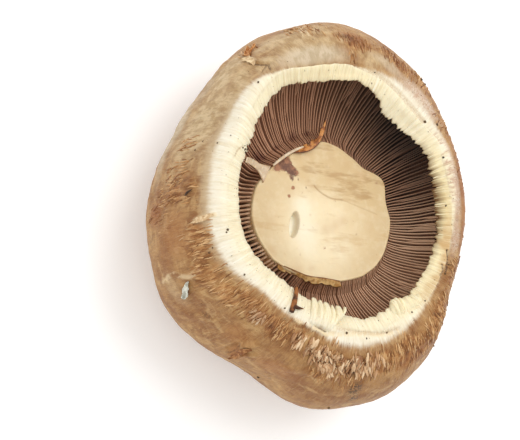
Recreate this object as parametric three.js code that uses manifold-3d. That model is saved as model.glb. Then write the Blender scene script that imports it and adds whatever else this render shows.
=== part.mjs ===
// A portobello mushroom, picked and trimmed, lying on its cap with the gills up.
// Millimetres, +Z up, origin at the middle of the small flat on the crown that it rests on.
// The cap is a thick bowl with an inrolled margin. A torn veil fringes its mouth, radial gills line
// it, and a short cut stem stands in the middle with two scraps of the torn ring on it.
import * as THREE from "three";
import { mergeVertices } from "three/addons/utils/BufferGeometryUtils.js";
import Module from "manifold-3d";

const wasm = await Module();
wasm.setup();

const TURN = 2 * Math.PI;
const GAP = 0.3; // clearance left between pieces that grow into each other

// Plan radii about the stem's axis, at equal steps round the turn, counterclockwise from +X.
const CAP_RADII = [
  43, 44.5, 46, 48.5, 52.5, 54, 53, 50, 45.5, 42, 40, 42, 43, 43.5, 44.5, 43.5, 43.5, 44.5, 48, 49.5,
  51, 48.5, 41.5, 41,
];
const MOUTH_RADII = [
  28.9, 29.2, 30.2, 29.8, 30.2, 32.2, 33, 32.6, 32.9, 31.2, 29, 28.9, 29.2, 29.6, 28.7, 26.5, 26.2,
  26.4, 27.6, 29, 28.6, 28.9, 29.2, 29.1,
];
const STEM_RADII = [
  21.4, 21, 22.2, 19.3, 18.9, 19.2, 19.3, 17.8, 17.1, 17.2, 17.9, 19.1, 19.7, 19.8, 19.4, 18.8, 18, 17.3,
  17.3, 17.9, 18.9, 20.4, 21.1, 21.4,
];

// Heights above the surface that the crown rests on.
const CROWN_FLAT = 14; // radius of the flat
const CROWN_POWER = 0.95; // 1 would make the crown's side a true quarter ellipse
const EQUATOR = 24; // height of the widest ring of the cap
const MARGIN_TOP = 45; // highest ring of the inrolled margin
const MARGIN_WIDTH = 4.5; // from the mouth out to that highest ring
const FLESH_AT_STEM = 20.7; // flesh under the stem
const GILL_ROOT = 21; // where the gills meet the flesh, at the stem
const GILL_ROOT_RISE = 14; // and how far that surface climbs out to the margin
const GILL_ROOT_POWER = 2.2;
const GILL_FLOOR = 1.2; // thickness of the layer that the gills stand on
const STEM_CUT = 32; // height of the cut face
const PIT = { halfWidth: 1.35, halfLength: 3.6, depth: 2.6, turn: -0.16, x: -7.7, y: -3.7, above: 0.9 };

// Veil: the cream band inside the margin, with a ragged inner edge.
const VEIL_WIDTH = 2.9;
const VEIL_TOP = 44.2;
const VEIL_EDGE = 43;
const VEIL_BOTTOM = 41.3;

const LONG_GILLS = 70; // gills that reach the stem; a short one stands between each two
const GILL_CREST = 0.62; // thickness at the free edge
const GILL_BASE = 0.95; // thickness at the root
const GILL_TALL = 7.2; // height of a blade at the stem
const GILL_LOWER = 3.1; // and how much lower it is at the margin

// The same draw on every run, for what grows unevenly.
function seededDraw(seed) {
  let state = seed;
  return () => {
    state = (state * 1664525 + 1013904223) % 4294967296;
    return state / 4294967296;
  };
}

// A smooth closed outline through radii at equal steps, read at an angle in radians.
function around(radii, angle) {
  const n = radii.length;
  const place = ((((angle / TURN) % 1) + 1) % 1) * n;
  const i = Math.floor(place) % n;
  const f = place - Math.floor(place);
  const [before, here, next, after] = [-1, 0, 1, 2].map((k) => radii[(i + k + n) % n]);
  const slope = next - before;
  const bend = 2 * before - 5 * here + 4 * next - after;
  const twist = 3 * here - before - 3 * next + after;
  return here + 0.5 * f * (slope + f * (bend + f * twist));
}

const smooth = (t) => {
  const c = Math.min(1, Math.max(0, t));
  return c * c * (3 - 2 * c);
};

// A smooth hump that is 1 at its middle and 0 past its half-width, both in degrees round the turn.
function hump(angle, middle, halfWidth) {
  const off = Math.abs((((angle * 180) / Math.PI - middle + 540) % 360) - 180);
  return smooth(1 - off / halfWidth);
}

const capRadius = (angle) => around(CAP_RADII, angle);
const stemRadius = (angle) => around(STEM_RADII, angle);
const mouthRadius = (angle) => around(MOUTH_RADII, angle);

// How far two scraps of veil still reach inwards past the mouth's edge.
const veilScraps = (angle) => 1.6 * hump(angle, 262, 11) + 2.1 * hump(angle, 301, 8);

// The wall of the hollow that the gills fill, under the overhanging margin.
function hollowRadius(angle) {
  const mouth = mouthRadius(angle);
  return mouth + 0.45 * (capRadius(angle) - mouth);
}

// Surface that the gills grow from, by q from 0 at the stem to 1 at the wall of the hollow.
const rootHeight = (q) => GILL_ROOT + GILL_ROOT_RISE * q ** GILL_ROOT_POWER;

function gillRadius(angle, q) {
  const inner = stemRadius(angle) + 2 * GAP;
  return inner + q * (hollowRadius(angle) - inner);
}

// Turns a list of vertices and triangles into a geometry whose faces point out.
function closedGeometry(points, triangles) {
  let volume = 0;
  for (const [a, b, c] of triangles) {
    const [p, q, r] = [points[a], points[b], points[c]];
    volume += new THREE.Vector3(...p).dot(
      new THREE.Vector3(...q).cross(new THREE.Vector3(...r)),
    );
  }
  const faces = volume < 0 ? triangles.map(([a, b, c]) => [a, c, b]) : triangles;
  const geometry = new THREE.BufferGeometry();
  geometry.setAttribute("position", new THREE.Float32BufferAttribute(points.flat(), 3));
  geometry.setIndex(faces.flat());
  return geometry;
}

const polar = (radius, angle, z) => [radius * Math.cos(angle), radius * Math.sin(angle), z];

// Sweeps an uneven section round the axis. sectionAt(angle) lists [radius, height] pairs. A section
// that starts and ends on the axis makes a closed body, and any other is closed into a ring.
function turned(sectionAt, columns) {
  const sections = [];
  for (let c = 0; c < columns; c++) sections.push(sectionAt((c * TURN) / columns));
  const rows = sections[0].length;
  const onAxis = sections[0][0][0] === 0;
  const points = [];
  const triangles = [];
  const first = onAxis ? 1 : 0;
  const last = onAxis ? rows - 1 : rows;
  const index = (c, r) => (c % columns) * (last - first) + (r - first);
  sections.forEach((section, c) => {
    for (let r = first; r < last; r++) {
      points.push(polar(section[r][0], (c * TURN) / columns, section[r][1]));
    }
  });
  const quad = (c, r, s) => {
    triangles.push([index(c, r), index(c + 1, r), index(c + 1, s)]);
    triangles.push([index(c, r), index(c + 1, s), index(c, s)]);
  };
  for (let c = 0; c < columns; c++) {
    for (let r = first; r < last - 1; r++) quad(c, r, r + 1);
    if (!onAxis) quad(c, last - 1, first);
  }
  if (onAxis) {
    const start = points.push([0, 0, sections[0][0][1]]) - 1;
    const end = points.push([0, 0, sections[0][rows - 1][1]]) - 1;
    for (let c = 0; c < columns; c++) {
      triangles.push([start, index(c + 1, first), index(c, first)]);
      triangles.push([end, index(c, last - 1), index(c + 1, last - 1)]);
    }
  }
  return closedGeometry(points, triangles);
}

function solidOf(geometry) {
  const bare = geometry.clone();
  bare.deleteAttribute("normal");
  bare.deleteAttribute("uv");
  const merged = mergeVertices(bare);
  return new wasm.Manifold(
    new wasm.Mesh({
      numProp: 3,
      vertProperties: merged.attributes.position.array,
      triVerts: new Uint32Array(merged.index.array),
    }),
  );
}

function geometryOf(solid) {
  const mesh = solid.getMesh();
  const geometry = new THREE.BufferGeometry();
  geometry.setAttribute("position", new THREE.BufferAttribute(mesh.vertProperties, 3));
  geometry.setIndex(new THREE.BufferAttribute(mesh.triVerts, 1));
  return geometry;
}

// Broad lumps and hollows of the cap's skin, in millimetres along the radius.
function capLumps(angle, z) {
  const free = smooth(z / 8) * smooth((MARGIN_TOP - 1 - z) / 6);
  const broad = 0.55 * Math.sin(5 * angle + z * 0.09) + 0.35 * Math.sin(9 * angle - z * 0.16);
  return free * broad;
}

// The cap: from the crown out to the widest ring, in over the margin to the mouth, then back
// under the margin and down the hollow to the flesh under the stem.
function capSection(angle) {
  const widest = capRadius(angle);
  const top = mouthRadius(angle) + MARGIN_WIDTH;
  const section = [
    [0, 0],
    [CROWN_FLAT, 0],
  ];
  const crownSteps = 7;
  for (let i = 1; i <= crownSteps; i++) {
    const a = ((i / crownSteps) * Math.PI) / 2;
    const z = EQUATOR * (1 - Math.cos(a) ** CROWN_POWER);
    const r = CROWN_FLAT + (widest - CROWN_FLAT) * Math.sin(a) ** CROWN_POWER;
    section.push([r + capLumps(angle, z), z]);
  }
  const marginSteps = 8;
  for (let i = 1; i <= marginSteps; i++) {
    const b = ((i / marginSteps) * Math.PI) / 2;
    const z = EQUATOR + (MARGIN_TOP - EQUATOR) * Math.sin(b);
    section.push([top + (widest - top) * Math.cos(b) + capLumps(angle, z), z]);
  }
  const lip = mouthRadius(angle) + VEIL_WIDTH + GAP;
  section.push([lip, VEIL_TOP + 0.4]);
  section.push([lip, VEIL_BOTTOM - 0.2]);
  const wall = hollowRadius(angle) + GAP;
  section.push([lip + 0.55 * (wall - lip), VEIL_BOTTOM - 1.7]);
  section.push([wall + 0.1, GILL_ROOT + GILL_ROOT_RISE + 2.2]);
  for (const q of [1, 0.8, 0.58, 0.3, 0]) {
    const past = q === 1 ? GAP : 0;
    section.push([gillRadius(angle, q) + past, rootHeight(q) - GAP]);
  }
  section.push([0, FLESH_AT_STEM]);
  return section;
}

// The veil: a torn band that carries the margin on inwards, toothed where it ripped.
const VEIL_TEETH = 90;
function veilSection(draw) {
  const rips = Array.from({ length: 2 * VEIL_TEETH }, (_, i) => (i % 2 ? 0.25 : -0.3) - 0.35 * draw());
  return (angle) => {
    const column = Math.round((angle / TURN) * rips.length) % rips.length;
    const mouth = mouthRadius(angle);
    const edge = mouth - veilScraps(angle) + rips[column];
    const outer = mouth + VEIL_WIDTH;
    const sag = 0.5 * Math.sin(3 * angle + 1) + 0.3 * Math.sin(7 * angle);
    return [
      [outer, VEIL_TOP],
      [outer - 1.4, VEIL_TOP - 0.1 + 0.3 * sag],
      [edge, VEIL_EDGE + sag],
      [edge + 0.1, VEIL_EDGE - 1.1 + sag],
      [outer, VEIL_BOTTOM],
    ];
  };
}

// Height of a gill's free edge above the layer it stands on, by q. Short gills start half-way.
function gillHeight(q, isShort) {
  const from = isShort ? 0.42 : 0;
  const rise = smooth((q - from) / (isShort ? 0.3 : 0.05));
  const fall = smooth((1 - q) / 0.16);
  return (GILL_TALL - GILL_LOWER * q) * rise * fall;
}

// The gills: one ring whose upper face is raised into thin upright ridges by a formula.
const GILL_STATIONS = [0, 0.06, 0.24, 0.45, 0.68, 0.88, 1];
function gillGeometry() {
  const draw = seededDraw(7);
  const gills = 2 * LONG_GILLS;
  const points = [];
  const triangles = [];
  const grid = [];
  for (let g = 0; g < gills; g++) {
    const lean = (draw() - 0.5) * 0.22;
    const tall = 0.92 + 0.12 * draw();
    const sides = [-1, -1, 1, 1].map((side, k) => {
      const crest = k === 1 || k === 2;
      return GILL_STATIONS.map((q) => {
        const ring = gillRadius((g * TURN) / gills, q);
        const bow = Math.sin(Math.PI * q) * lean;
        const thick = crest ? GILL_CREST : GILL_BASE;
        const room = ((TURN * ring) / gills) * 0.84; // room beside its neighbours near the stem
        const angle = ((g + bow) * TURN) / gills + (side * 0.5 * Math.min(thick, room)) / ring;
        const height = crest ? gillHeight(q, g % 2 === 1) * tall : 0;
        const z = rootHeight(q) + GILL_FLOOR + height;
        return points.push(polar(gillRadius(angle, q), angle, z)) - 1;
      });
    });
    grid.push(...sides);
  }
  const columns = grid.length;
  for (let c = 0; c < columns; c++) {
    const next = grid[(c + 1) % columns];
    for (let s = 0; s < GILL_STATIONS.length - 1; s++) {
      triangles.push([grid[c][s], next[s], next[s + 1]], [grid[c][s], next[s + 1], grid[c][s + 1]]);
    }
  }
  // The underside has one column to a long gill, and is sewn to the many columns of the top.
  const under = [];
  const underRows = [1, 0.8, 0.58, 0.3, 0];
  for (let u = 0; u < LONG_GILLS; u++) {
    const angle = ((2 * u - 0.5) * TURN) / gills;
    under.push(underRows.map((q) => points.push(polar(gillRadius(angle, q), angle, rootHeight(q))) - 1));
  }
  const perSector = columns / LONG_GILLS;
  for (let u = 0; u < LONG_GILLS; u++) {
    const here = under[u];
    const next = under[(u + 1) % LONG_GILLS];
    for (let r = 0; r < underRows.length - 1; r++) {
      triangles.push([here[r], next[r], next[r + 1]], [here[r], next[r + 1], here[r + 1]]);
    }
    const lastStation = GILL_STATIONS.length - 1;
    for (let k = 0; k < perSector; k++) {
      const a = grid[(u * perSector + k) % columns];
      const b = grid[(u * perSector + k + 1) % columns];
      triangles.push([here[0], a[lastStation], b[lastStation]]);
      triangles.push([here[underRows.length - 1], b[0], a[0]]);
    }
    const end = grid[((u + 1) * perSector) % columns];
    triangles.push([here[0], end[lastStation], next[0]]);
    triangles.push([here[underRows.length - 1], next[underRows.length - 1], end[0]]);
  }
  return closedGeometry(points, triangles);
}

// The stem: a stout stump that widens a little to its cut, with a knife's pit in the cut face.
function stemSection(angle) {
  const r = stemRadius(angle);
  const dish = 0.25 * Math.sin(angle * 2 + 0.6);
  return [
    [0, FLESH_AT_STEM + GAP],
    [r - 0.4, FLESH_AT_STEM + GAP],
    [r - 0.7, FLESH_AT_STEM + 3.8],
    [r - 0.4, STEM_CUT - 4],
    [r - 0.05, STEM_CUT - 1.4],
    [r - 0.35, STEM_CUT - 0.4 + 0.3 * dish],
    [r - 1.3, STEM_CUT + 0.5 * dish],
    [r * 0.62, STEM_CUT + 0.4 + dish],
    [r * 0.3, STEM_CUT + 0.7],
    [0, STEM_CUT + 0.7],
  ];
}

function stemGeometry() {
  const stump = solidOf(turned(stemSection, 48));
  const pit = new THREE.SphereGeometry(1, 14, 10);
  pit.scale(PIT.halfWidth, PIT.halfLength, PIT.depth);
  pit.rotateZ(PIT.turn);
  pit.translate(PIT.x, PIT.y, STEM_CUT + PIT.above);
  return geometryOf(stump.subtract(solidOf(pit)));
}

// A scrap of the torn ring: a thin curved flap on the stem's wall, between two angles in degrees.
// It stands out by reach, and further by tip at its last third, and climbs from low to high.
const SCRAP_THICK = 0.8;
const SCRAP_LIFT = 0.35; // how much the free edge rises for each millimetre it stands out
function ringScrap({ from, to, reach, tip, low, high }) {
  const steps = 14;
  const points = [];
  const triangles = [];
  for (let i = 0; i <= steps; i++) {
    const t = i / steps;
    const angle = ((from + (to - from) * t) * Math.PI) / 180;
    const inner = stemRadius(angle) + 1.2 * GAP;
    const swell = Math.sin(Math.PI * Math.min(1, t * 1.1)) ** 0.7;
    const width = 0.7 + reach * swell + tip * smooth((t - 0.7) / 0.3);
    const z = low + (high - low) * t + 0.25 * Math.sin(9 * t);
    const edge = z + SCRAP_LIFT * width;
    points.push(polar(inner, angle, z), polar(inner, angle, z + SCRAP_THICK));
    points.push(polar(inner + width, angle, edge + SCRAP_THICK), polar(inner + width, angle, edge));
  }
  for (let i = 0; i < steps; i++) {
    for (let k = 0; k < 4; k++) {
      const [a, b] = [4 * i + k, 4 * i + ((k + 1) % 4)];
      triangles.push([a, b, b + 4], [a, b + 4, a + 4]);
    }
  }
  const end = 4 * steps;
  triangles.push([0, 2, 1], [0, 3, 2], [end, end + 1, end + 2], [end, end + 2, end + 3]);
  return closedGeometry(points, triangles);
}

function material(colour, roughness) {
  return new THREE.MeshStandardMaterial({ color: colour, roughness, metalness: 0 });
}

const skin = material(0xa9825c, 0.62);
const cream = material(0xefe2c4, 0.75);
const gillBrown = material(0x6b5048, 0.85);
const cutFlesh = material(0xe8d9b4, 0.7);
const amber = material(0xb27a3a, 0.6);

const mushroom = new THREE.Group();

function add(name, geometry, look) {
  const mesh = new THREE.Mesh(geometry, look);
  mesh.name = name;
  mushroom.add(mesh);
}

add("cap", turned(capSection, 72), skin);
add("veil_fringe", turned(veilSection(seededDraw(3)), 2 * VEIL_TEETH), cream);
add("gills", gillGeometry(), gillBrown);
add("stem", stemGeometry(), cutFlesh);
add(
  "ring_scrap_upper",
  ringScrap({ from: 140, to: 86, reach: 1.1, tip: 3.4, low: 30, high: 30.8 }),
  amber,
);
add(
  "ring_scrap_lower",
  ringScrap({ from: 230, to: 291, reach: 1.9, tip: 0.2, low: 29.9, high: 30 }),
  amber,
);

export default mushroom;
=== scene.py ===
# %% [markdown]
# A portobello mushroom, picked and trimmed, lies on its cap with the gills up. This lesson dresses
# the plain measured model of it: a finer cap, a ribbed veil, nearly three hundred gills, the cut stem,
# the dried scraps of its ring, and the crumbs that cling to it. The measured model is loaded first and
# never changed, and every piece made here goes where that model says.

# %% Load the measured model
import itertools
import math

import bpy
import numpy as np
from mathutils import Matrix, Vector


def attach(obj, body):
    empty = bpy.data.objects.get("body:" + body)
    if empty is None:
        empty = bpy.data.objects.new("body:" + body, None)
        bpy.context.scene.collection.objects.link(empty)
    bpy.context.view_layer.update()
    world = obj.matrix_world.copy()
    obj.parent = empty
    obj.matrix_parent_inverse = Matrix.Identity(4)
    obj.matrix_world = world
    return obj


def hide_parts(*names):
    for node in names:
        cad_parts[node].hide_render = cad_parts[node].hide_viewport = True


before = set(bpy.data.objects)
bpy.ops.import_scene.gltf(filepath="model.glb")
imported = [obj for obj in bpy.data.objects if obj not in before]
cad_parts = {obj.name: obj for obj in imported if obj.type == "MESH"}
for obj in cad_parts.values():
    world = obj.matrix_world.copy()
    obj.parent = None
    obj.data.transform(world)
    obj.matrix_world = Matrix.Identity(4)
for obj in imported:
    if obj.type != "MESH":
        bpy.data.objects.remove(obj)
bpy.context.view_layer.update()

# %% [markdown]
# Lengths are written in millimetres, as on a maker's drawing, and become metres where a mesh is made.
# A grown thing has no straight edges, so its outline is a few radii round the stem's axis, and a
# smooth curve runs through them. Soft steps and humps say where on the cap something happens.

# %% Measures and curves round the stem
MM = 0.001
TURN = 2 * math.pi


def around(radii, angle):
    """Reads a smooth closed outline, given by radii at equal steps, at angles in radians."""
    radii = np.asarray(radii, float)
    count = len(radii)
    place = np.mod(angle / TURN, 1.0) * count
    i = np.floor(place).astype(int) % count
    f = place - np.floor(place)
    before, here, after, later = (radii[(i + k) % count] for k in (-1, 0, 1, 2))
    slope = after - before
    bend = 2 * before - 5 * here + 4 * after - later
    twist = 3 * here - before - 3 * after + later
    return here + 0.5 * f * (slope + f * (bend + f * twist))


def smooth(t):
    t = np.clip(t, 0.0, 1.0)
    return t * t * (3 - 2 * t)


def degrees_off(angle, middle):
    """How far an angle in radians is from a middle in degrees, in degrees, from 0 to 180."""
    return np.abs(np.mod(np.degrees(angle) - middle + 180, 360) - 180)


def hump(angle, middle, half_width):
    return smooth(1 - degrees_off(angle, middle) / half_width)


def bed(angle, out, patches):
    """Strength from 0 to 1 of patches on the cap: (degrees, mm out from the mouth, half sizes, strength)."""
    total = np.zeros(np.broadcast(angle, out).shape)
    for middle, away, half_turn, half_width, strength in patches:
        far = np.hypot(degrees_off(angle, middle) / half_turn, (out - away) / half_width)
        total = np.maximum(total, strength * smooth(1.4 * (1 - far)))
    return total


# %% [markdown]
# Natural relief needs noise: a value that drifts smoothly from place to place. Blender's textures have
# it, but a mesh that is made point by point needs its own. This one gives every corner of a cubic
# lattice a fixed draw and blends between the eight corners round each point, so it never changes.

# %% Drift, the noise that shapes the meshes
def drift(points, size, seed):
    """Smooth noise from -1 to 1 at points (..., 3), with lumps about as big as size."""
    place = points / size + 31.7 * seed
    cell = np.floor(place).astype(np.int64)
    f = place - cell
    f = f * f * (3 - 2 * f)
    total = 0.0
    for corner in itertools.product((0, 1), repeat=3):
        x, y, z = (cell[..., k] + corner[k] for k in range(3))
        draw = (x * 73856093) ^ (y * 19349663) ^ (z * 83492791)
        draw = ((draw ^ (draw >> 13)) * 1274126177) & 0xFFFFFFFF
        draw = (draw ^ (draw >> 15)) & 0xFFFF
        weight = 1.0
        for k in range(3):
            weight = weight * (f[..., k] if corner[k] else 1 - f[..., k])
        total = total + weight * (draw / 32767.5 - 1)
    return total


def layered(points, size, seed, layers=3):
    """Drift with finer drift on top of it."""
    parts = [drift(points, size / 2.1**k, seed + k) * 0.55**k for k in range(layers)]
    return sum(parts) / sum(0.55**k for k in range(layers))


print("drift at the origin:", round(float(layered(np.zeros((1, 3)), 5.0, 1)[0]), 4))

# %% [markdown]
# The driving sizes of the mushroom are the ones that its measured model was built from. They are
# repeated here, since the fine pieces must follow the same outlines.

# %% The mushroom's own sizes
CAP_RADII = [
    43, 44.5, 46, 48.5, 52.5, 54, 53, 50, 45.5, 42, 40, 42, 43, 43.5, 44.5, 43.5, 43.5, 44.5, 48, 49.5,
    51, 48.5, 41.5, 41,
]
MOUTH_RADII = [
    28.9, 29.2, 30.2, 29.8, 30.2, 32.2, 33, 32.6, 32.9, 31.2, 29, 28.9, 29.2, 29.6, 28.7, 26.5, 26.2,
    26.4, 27.6, 29, 28.6, 28.9, 29.2, 29.1,
]
STEM_RADII = [
    21.4, 21, 22.2, 19.3, 18.9, 19.2, 19.3, 17.8, 17.1, 17.2, 17.9, 19.1, 19.7, 19.8, 19.4, 18.8, 18,
    17.3, 17.3, 17.9, 18.9, 20.4, 21.1, 21.4,
]
CROWN_FLAT = 14
CROWN_POWER = 0.95
EQUATOR = 24
MARGIN_TOP = 45
MARGIN_WIDTH = 4.5
FLESH_AT_STEM = 20.7
GILL_ROOT = 21
GILL_ROOT_RISE = 14
GILL_ROOT_POWER = 2.2
GILL_FLOOR = 1.2
STEM_CUT = 32
GILL_TALL = 7.2
GILL_LOWER = 3.1
VEIL_WIDTH = 2.9
VEIL_BOTTOM = 41.3


def cap_radius(angle):
    return around(CAP_RADII, angle)


def mouth_radius(angle):
    return around(MOUTH_RADII, angle)


def stem_radius(angle):
    return around(STEM_RADII, angle)


def hollow_radius(angle):
    """The wall of the hollow under the margin, where the gills end."""
    mouth = mouth_radius(angle)
    return mouth + 0.45 * (cap_radius(angle) - mouth)


def cap_lumps(angle, z):
    free = smooth(z / 8) * smooth((MARGIN_TOP - 1 - z) / 6)
    return free * (0.55 * np.sin(5 * angle + z * 0.09) + 0.35 * np.sin(9 * angle - z * 0.16))


def polar(radius, angle, z):
    """Points (..., 3) from radius, angle and height."""
    return np.stack(np.broadcast_arrays(radius * np.cos(angle), radius * np.sin(angle), z), axis=-1)


turn = np.linspace(0, TURN, 720)
widest = [round(float(radius(turn).max()), 1) for radius in (cap_radius, mouth_radius, stem_radius)]
print("greatest radii of cap, mouth and stem:", widest, "mm")

# %% [markdown]
# The camera comes before the pieces, so that each can be judged as it is made. The mushroom lies with
# its axis upright, and the photograph looks down on it from 60 degrees above the table, with the
# mushroom's +Y side up the picture. A long lens keeps the cap's outline nearly free of perspective.

# %% Camera
PICTURE = (520, 440)  # pixels
TILT = math.radians(30)  # of the line of sight from the axis
SIDE = math.radians(24)  # towards which side it tilts
DISTANCE = 450 * MM
FOCAL_PIXELS = 1737.45
AIM = Vector((0, 0, 28 * MM))  # this point shows at AIM_PIXEL
AIM_PIXEL = (311.5, 216.7)
SENSOR = 36  # millimetres across the picture

towards = Vector((-math.sin(TILT) * math.cos(SIDE), -math.sin(TILT) * math.sin(SIDE), math.cos(TILT)))
right = (-towards).cross(Vector((0, 1, 0))).normalized()
up = right.cross(-towards)
across = (AIM_PIXEL[0] - PICTURE[0] / 2) * DISTANCE / FOCAL_PIXELS
down = (AIM_PIXEL[1] - PICTURE[1] / 2) * DISTANCE / FOCAL_PIXELS
eye = AIM + towards * DISTANCE - right * across + up * down

lens = bpy.data.cameras.new("camera")
lens.sensor_width = SENSOR
lens.lens = FOCAL_PIXELS * SENSOR / PICTURE[0]
lens.clip_start = 0.01
camera = bpy.data.objects.new("camera", lens)
camera.matrix_world = Matrix.Translation(eye) @ Matrix((right, up, towards)).transposed().to_4x4()
bpy.context.scene.collection.objects.link(camera)
bpy.context.scene.camera = camera
print("camera at", [round(c, 4) for c in eye], "lens", round(lens.lens, 1), "mm")

# %% [markdown]
# A finish is a small tree of shader nodes. The same few kinds of node come back in every tree, so each
# gets a short helper. Patterns that follow the growth of the mushroom read a "grain" attribute, which
# runs round the cap in its first two numbers and outwards along the skin in the third: fibres are
# then just noise that is stretched along that third number.

# %% Helpers for shader trees
def colour(red, green, blue):
    """Linear colour from the 0 to 255 numbers that a picture editor shows."""
    shares = [c / 255 for c in (red, green, blue)]
    return (*(s / 12.92 if s <= 0.04045 else ((s + 0.055) / 1.055) ** 2.4 for s in shares), 1.0)


def feed(tree, socket, value):
    """Gives a socket a fixed value, or links it to another node's output."""
    if isinstance(value, bpy.types.NodeSocket):
        tree.links.new(value, socket)
    else:
        socket.default_value = value


def finish_of(name, roughness, sheen=0.0, soft=0.0, reach=1.0):
    """A material whose shader has a fixed roughness, sheen and soft inner glow of reach millimetres."""
    material = bpy.data.materials.new(name)
    material.use_nodes = True
    shader = material.node_tree.nodes["Principled BSDF"]
    shader.inputs["Roughness"].default_value = roughness
    shader.inputs["Specular IOR Level"].default_value = 0.35
    shader.inputs["Sheen Weight"].default_value = sheen
    shader.inputs["Subsurface Weight"].default_value = soft
    shader.inputs["Subsurface Radius"].default_value = (1.0, 0.7, 0.45)
    shader.inputs["Subsurface Scale"].default_value = reach * MM
    print("finish", name, "has roughness", roughness)
    return material, material.node_tree, shader


def read(tree, attribute, vector=False):
    node = tree.nodes.new("ShaderNodeAttribute")
    node.attribute_name = attribute
    return node.outputs["Vector" if vector else "Fac"]


def stretched(tree, vector, scale):
    node = tree.nodes.new("ShaderNodeMapping")
    tree.links.new(vector, node.inputs["Vector"])
    node.inputs["Scale"].default_value = scale
    return node.outputs["Vector"]


def noise(tree, vector, scale, detail=4.0, roughness=0.55, distortion=0.0):
    node = tree.nodes.new("ShaderNodeTexNoise")
    tree.links.new(vector, node.inputs["Vector"])
    node.inputs["Scale"].default_value = scale
    node.inputs["Detail"].default_value = detail
    node.inputs["Roughness"].default_value = roughness
    node.inputs["Distortion"].default_value = distortion
    return node.outputs["Fac"]


def maths(tree, operation, first, second=0.0, third=0.0):
    node = tree.nodes.new("ShaderNodeMath")
    node.operation = operation
    for socket, value in zip(node.inputs, (first, second, third)):
        feed(tree, socket, value)
    return node.outputs[0]


def levels(tree, value, low, high, to_low=0.0, to_high=1.0):
    """Spreads the values between low and high softly over to_low to to_high."""
    node = tree.nodes.new("ShaderNodeMapRange")
    node.interpolation_type = "SMOOTHSTEP"
    feed(tree, node.inputs["Value"], value)
    ends = zip(("From Min", "From Max", "To Min", "To Max"), (low, high, to_low, to_high))
    for socket, end in ends:
        node.inputs[socket].default_value = end
    return node.outputs["Result"]


def blended(tree, share, first, second, mode="MIX"):
    node = tree.nodes.new("ShaderNodeMix")
    node.data_type = "RGBA"
    node.blend_type = mode
    feed(tree, node.inputs[0], share)
    feed(tree, node.inputs[6], first)
    feed(tree, node.inputs[7], second)
    return node.outputs[2]


def stain(tree, shade, attribute, strength, tint):
    """Lays a colour over a shade where an attribute of the mesh says so."""
    return blended(tree, maths(tree, "MULTIPLY", read(tree, attribute), strength), shade, tint)


def coats(tree, shade, listed):
    """Lays colours over a shade: (value, low, high, strength, colour), each soft from low to high."""
    for value, low, high, strength, tint in listed:
        shade = blended(tree, levels(tree, value, low, high, 0, strength), shade, colour(*tint))
    return shade


def ramp(tree, value, stops):
    """Colours along a value: stops lists (place, colour)."""
    node = tree.nodes.new("ShaderNodeValToRGB")
    feed(tree, node.inputs[0], value)
    elements = node.color_ramp.elements
    while len(elements) < len(stops):
        elements.new(0.5)
    for element, (place, shade) in zip(elements, stops):
        element.position = place
        element.color = colour(*shade)
    return node.outputs["Color"]


def surfaced(tree, shader, shade, height, depth):
    """Gives a shader its colour, and a bump of a depth in millimetres under a height from 0 to 1."""
    tree.links.new(shade, shader.inputs["Base Color"])
    node = tree.nodes.new("ShaderNodeBump")
    node.inputs["Distance"].default_value = depth * MM
    tree.links.new(height, node.inputs["Height"])
    tree.links.new(node.outputs["Normal"], shader.inputs["Normal"])


print("a brown of 140, 96, 60 is", [round(c, 3) for c in colour(140, 96, 60)[:3]], "in linear light")

# %% [markdown]
# Light and floor. The photograph is evenly lit, with a soft light from above and a little from the
# top right, so the gills under the right margin stay dark and those at the left are the palest. One
# broad lamp at the top right, a wider and weaker one at the left and a pale sky give that light. The
# gills' finish adds to it: painted shade on the blades under the right margin, and a painted highlight
# on the crests at the left. The floor is a plain pale sheet just under the crown. It glows a little,
# as a sheet with light behind it does, and that keeps the mushroom's shadow faint.

# %% Floor, sky and lamps
FLOOR_HALF = 3.0  # metres
FLOOR_HEIGHT = -0.05 * MM
floor_mesh = bpy.data.meshes.new("floor")
corners = [(x * FLOOR_HALF, y * FLOOR_HALF, FLOOR_HEIGHT) for x, y in ((-1, -1), (1, -1), (1, 1), (-1, 1))]
floor_mesh.from_pydata(corners, [], [(0, 1, 2, 3)])
floor = bpy.data.objects.new("floor", floor_mesh)
bpy.context.scene.collection.objects.link(floor)
pale, tree, shader = finish_of("pale_sheet", roughness=0.9)
shader.inputs["Base Color"].default_value = (0.9, 0.9, 0.9, 1)
shader.inputs["Emission Color"].default_value = (1, 1, 1, 1)
shader.inputs["Emission Strength"].default_value = 0.2
floor_mesh.materials.append(pale)

sky = bpy.data.worlds.new("sky")
sky.use_nodes = True
sky.node_tree.nodes["Background"].inputs["Color"].default_value = (1.0, 0.99, 0.97, 1)
sky.node_tree.nodes["Background"].inputs["Strength"].default_value = 0.8
bpy.context.scene.world = sky


def lamp(name, azimuth, elevation, distance, size, power):
    """A square lamp that looks at the mushroom from azimuth and elevation in degrees."""
    light = bpy.data.lights.new(name, "AREA")
    light.size = size
    light.energy = power
    obj = bpy.data.objects.new(name, light)
    a, e = math.radians(azimuth), math.radians(elevation)
    away = Vector((math.cos(a) * math.cos(e), math.sin(a) * math.cos(e), math.sin(e)))
    obj.matrix_world = Matrix.Translation(away * distance) @ away.to_track_quat("Z", "Y").to_matrix().to_4x4()
    bpy.context.scene.collection.objects.link(obj)
    print(name, "gives", power, "W")


lamp("lamp_key", azimuth=50, elevation=64, distance=1.0, size=0.8, power=5.0)
lamp("lamp_left", azimuth=200, elevation=48, distance=1.0, size=1.2, power=2.2)
bpy.context.scene.view_settings.view_transform = "Standard"

# %% [markdown]
# Each main piece is a skin of rings. A ring may have half as many points as its neighbour, so the
# part of the cap that the table hides stays light. Faces that join two such rings have five corners.
# The sign of the enclosed volume tells whether the faces point out, and if not, they are all turned.

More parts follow.
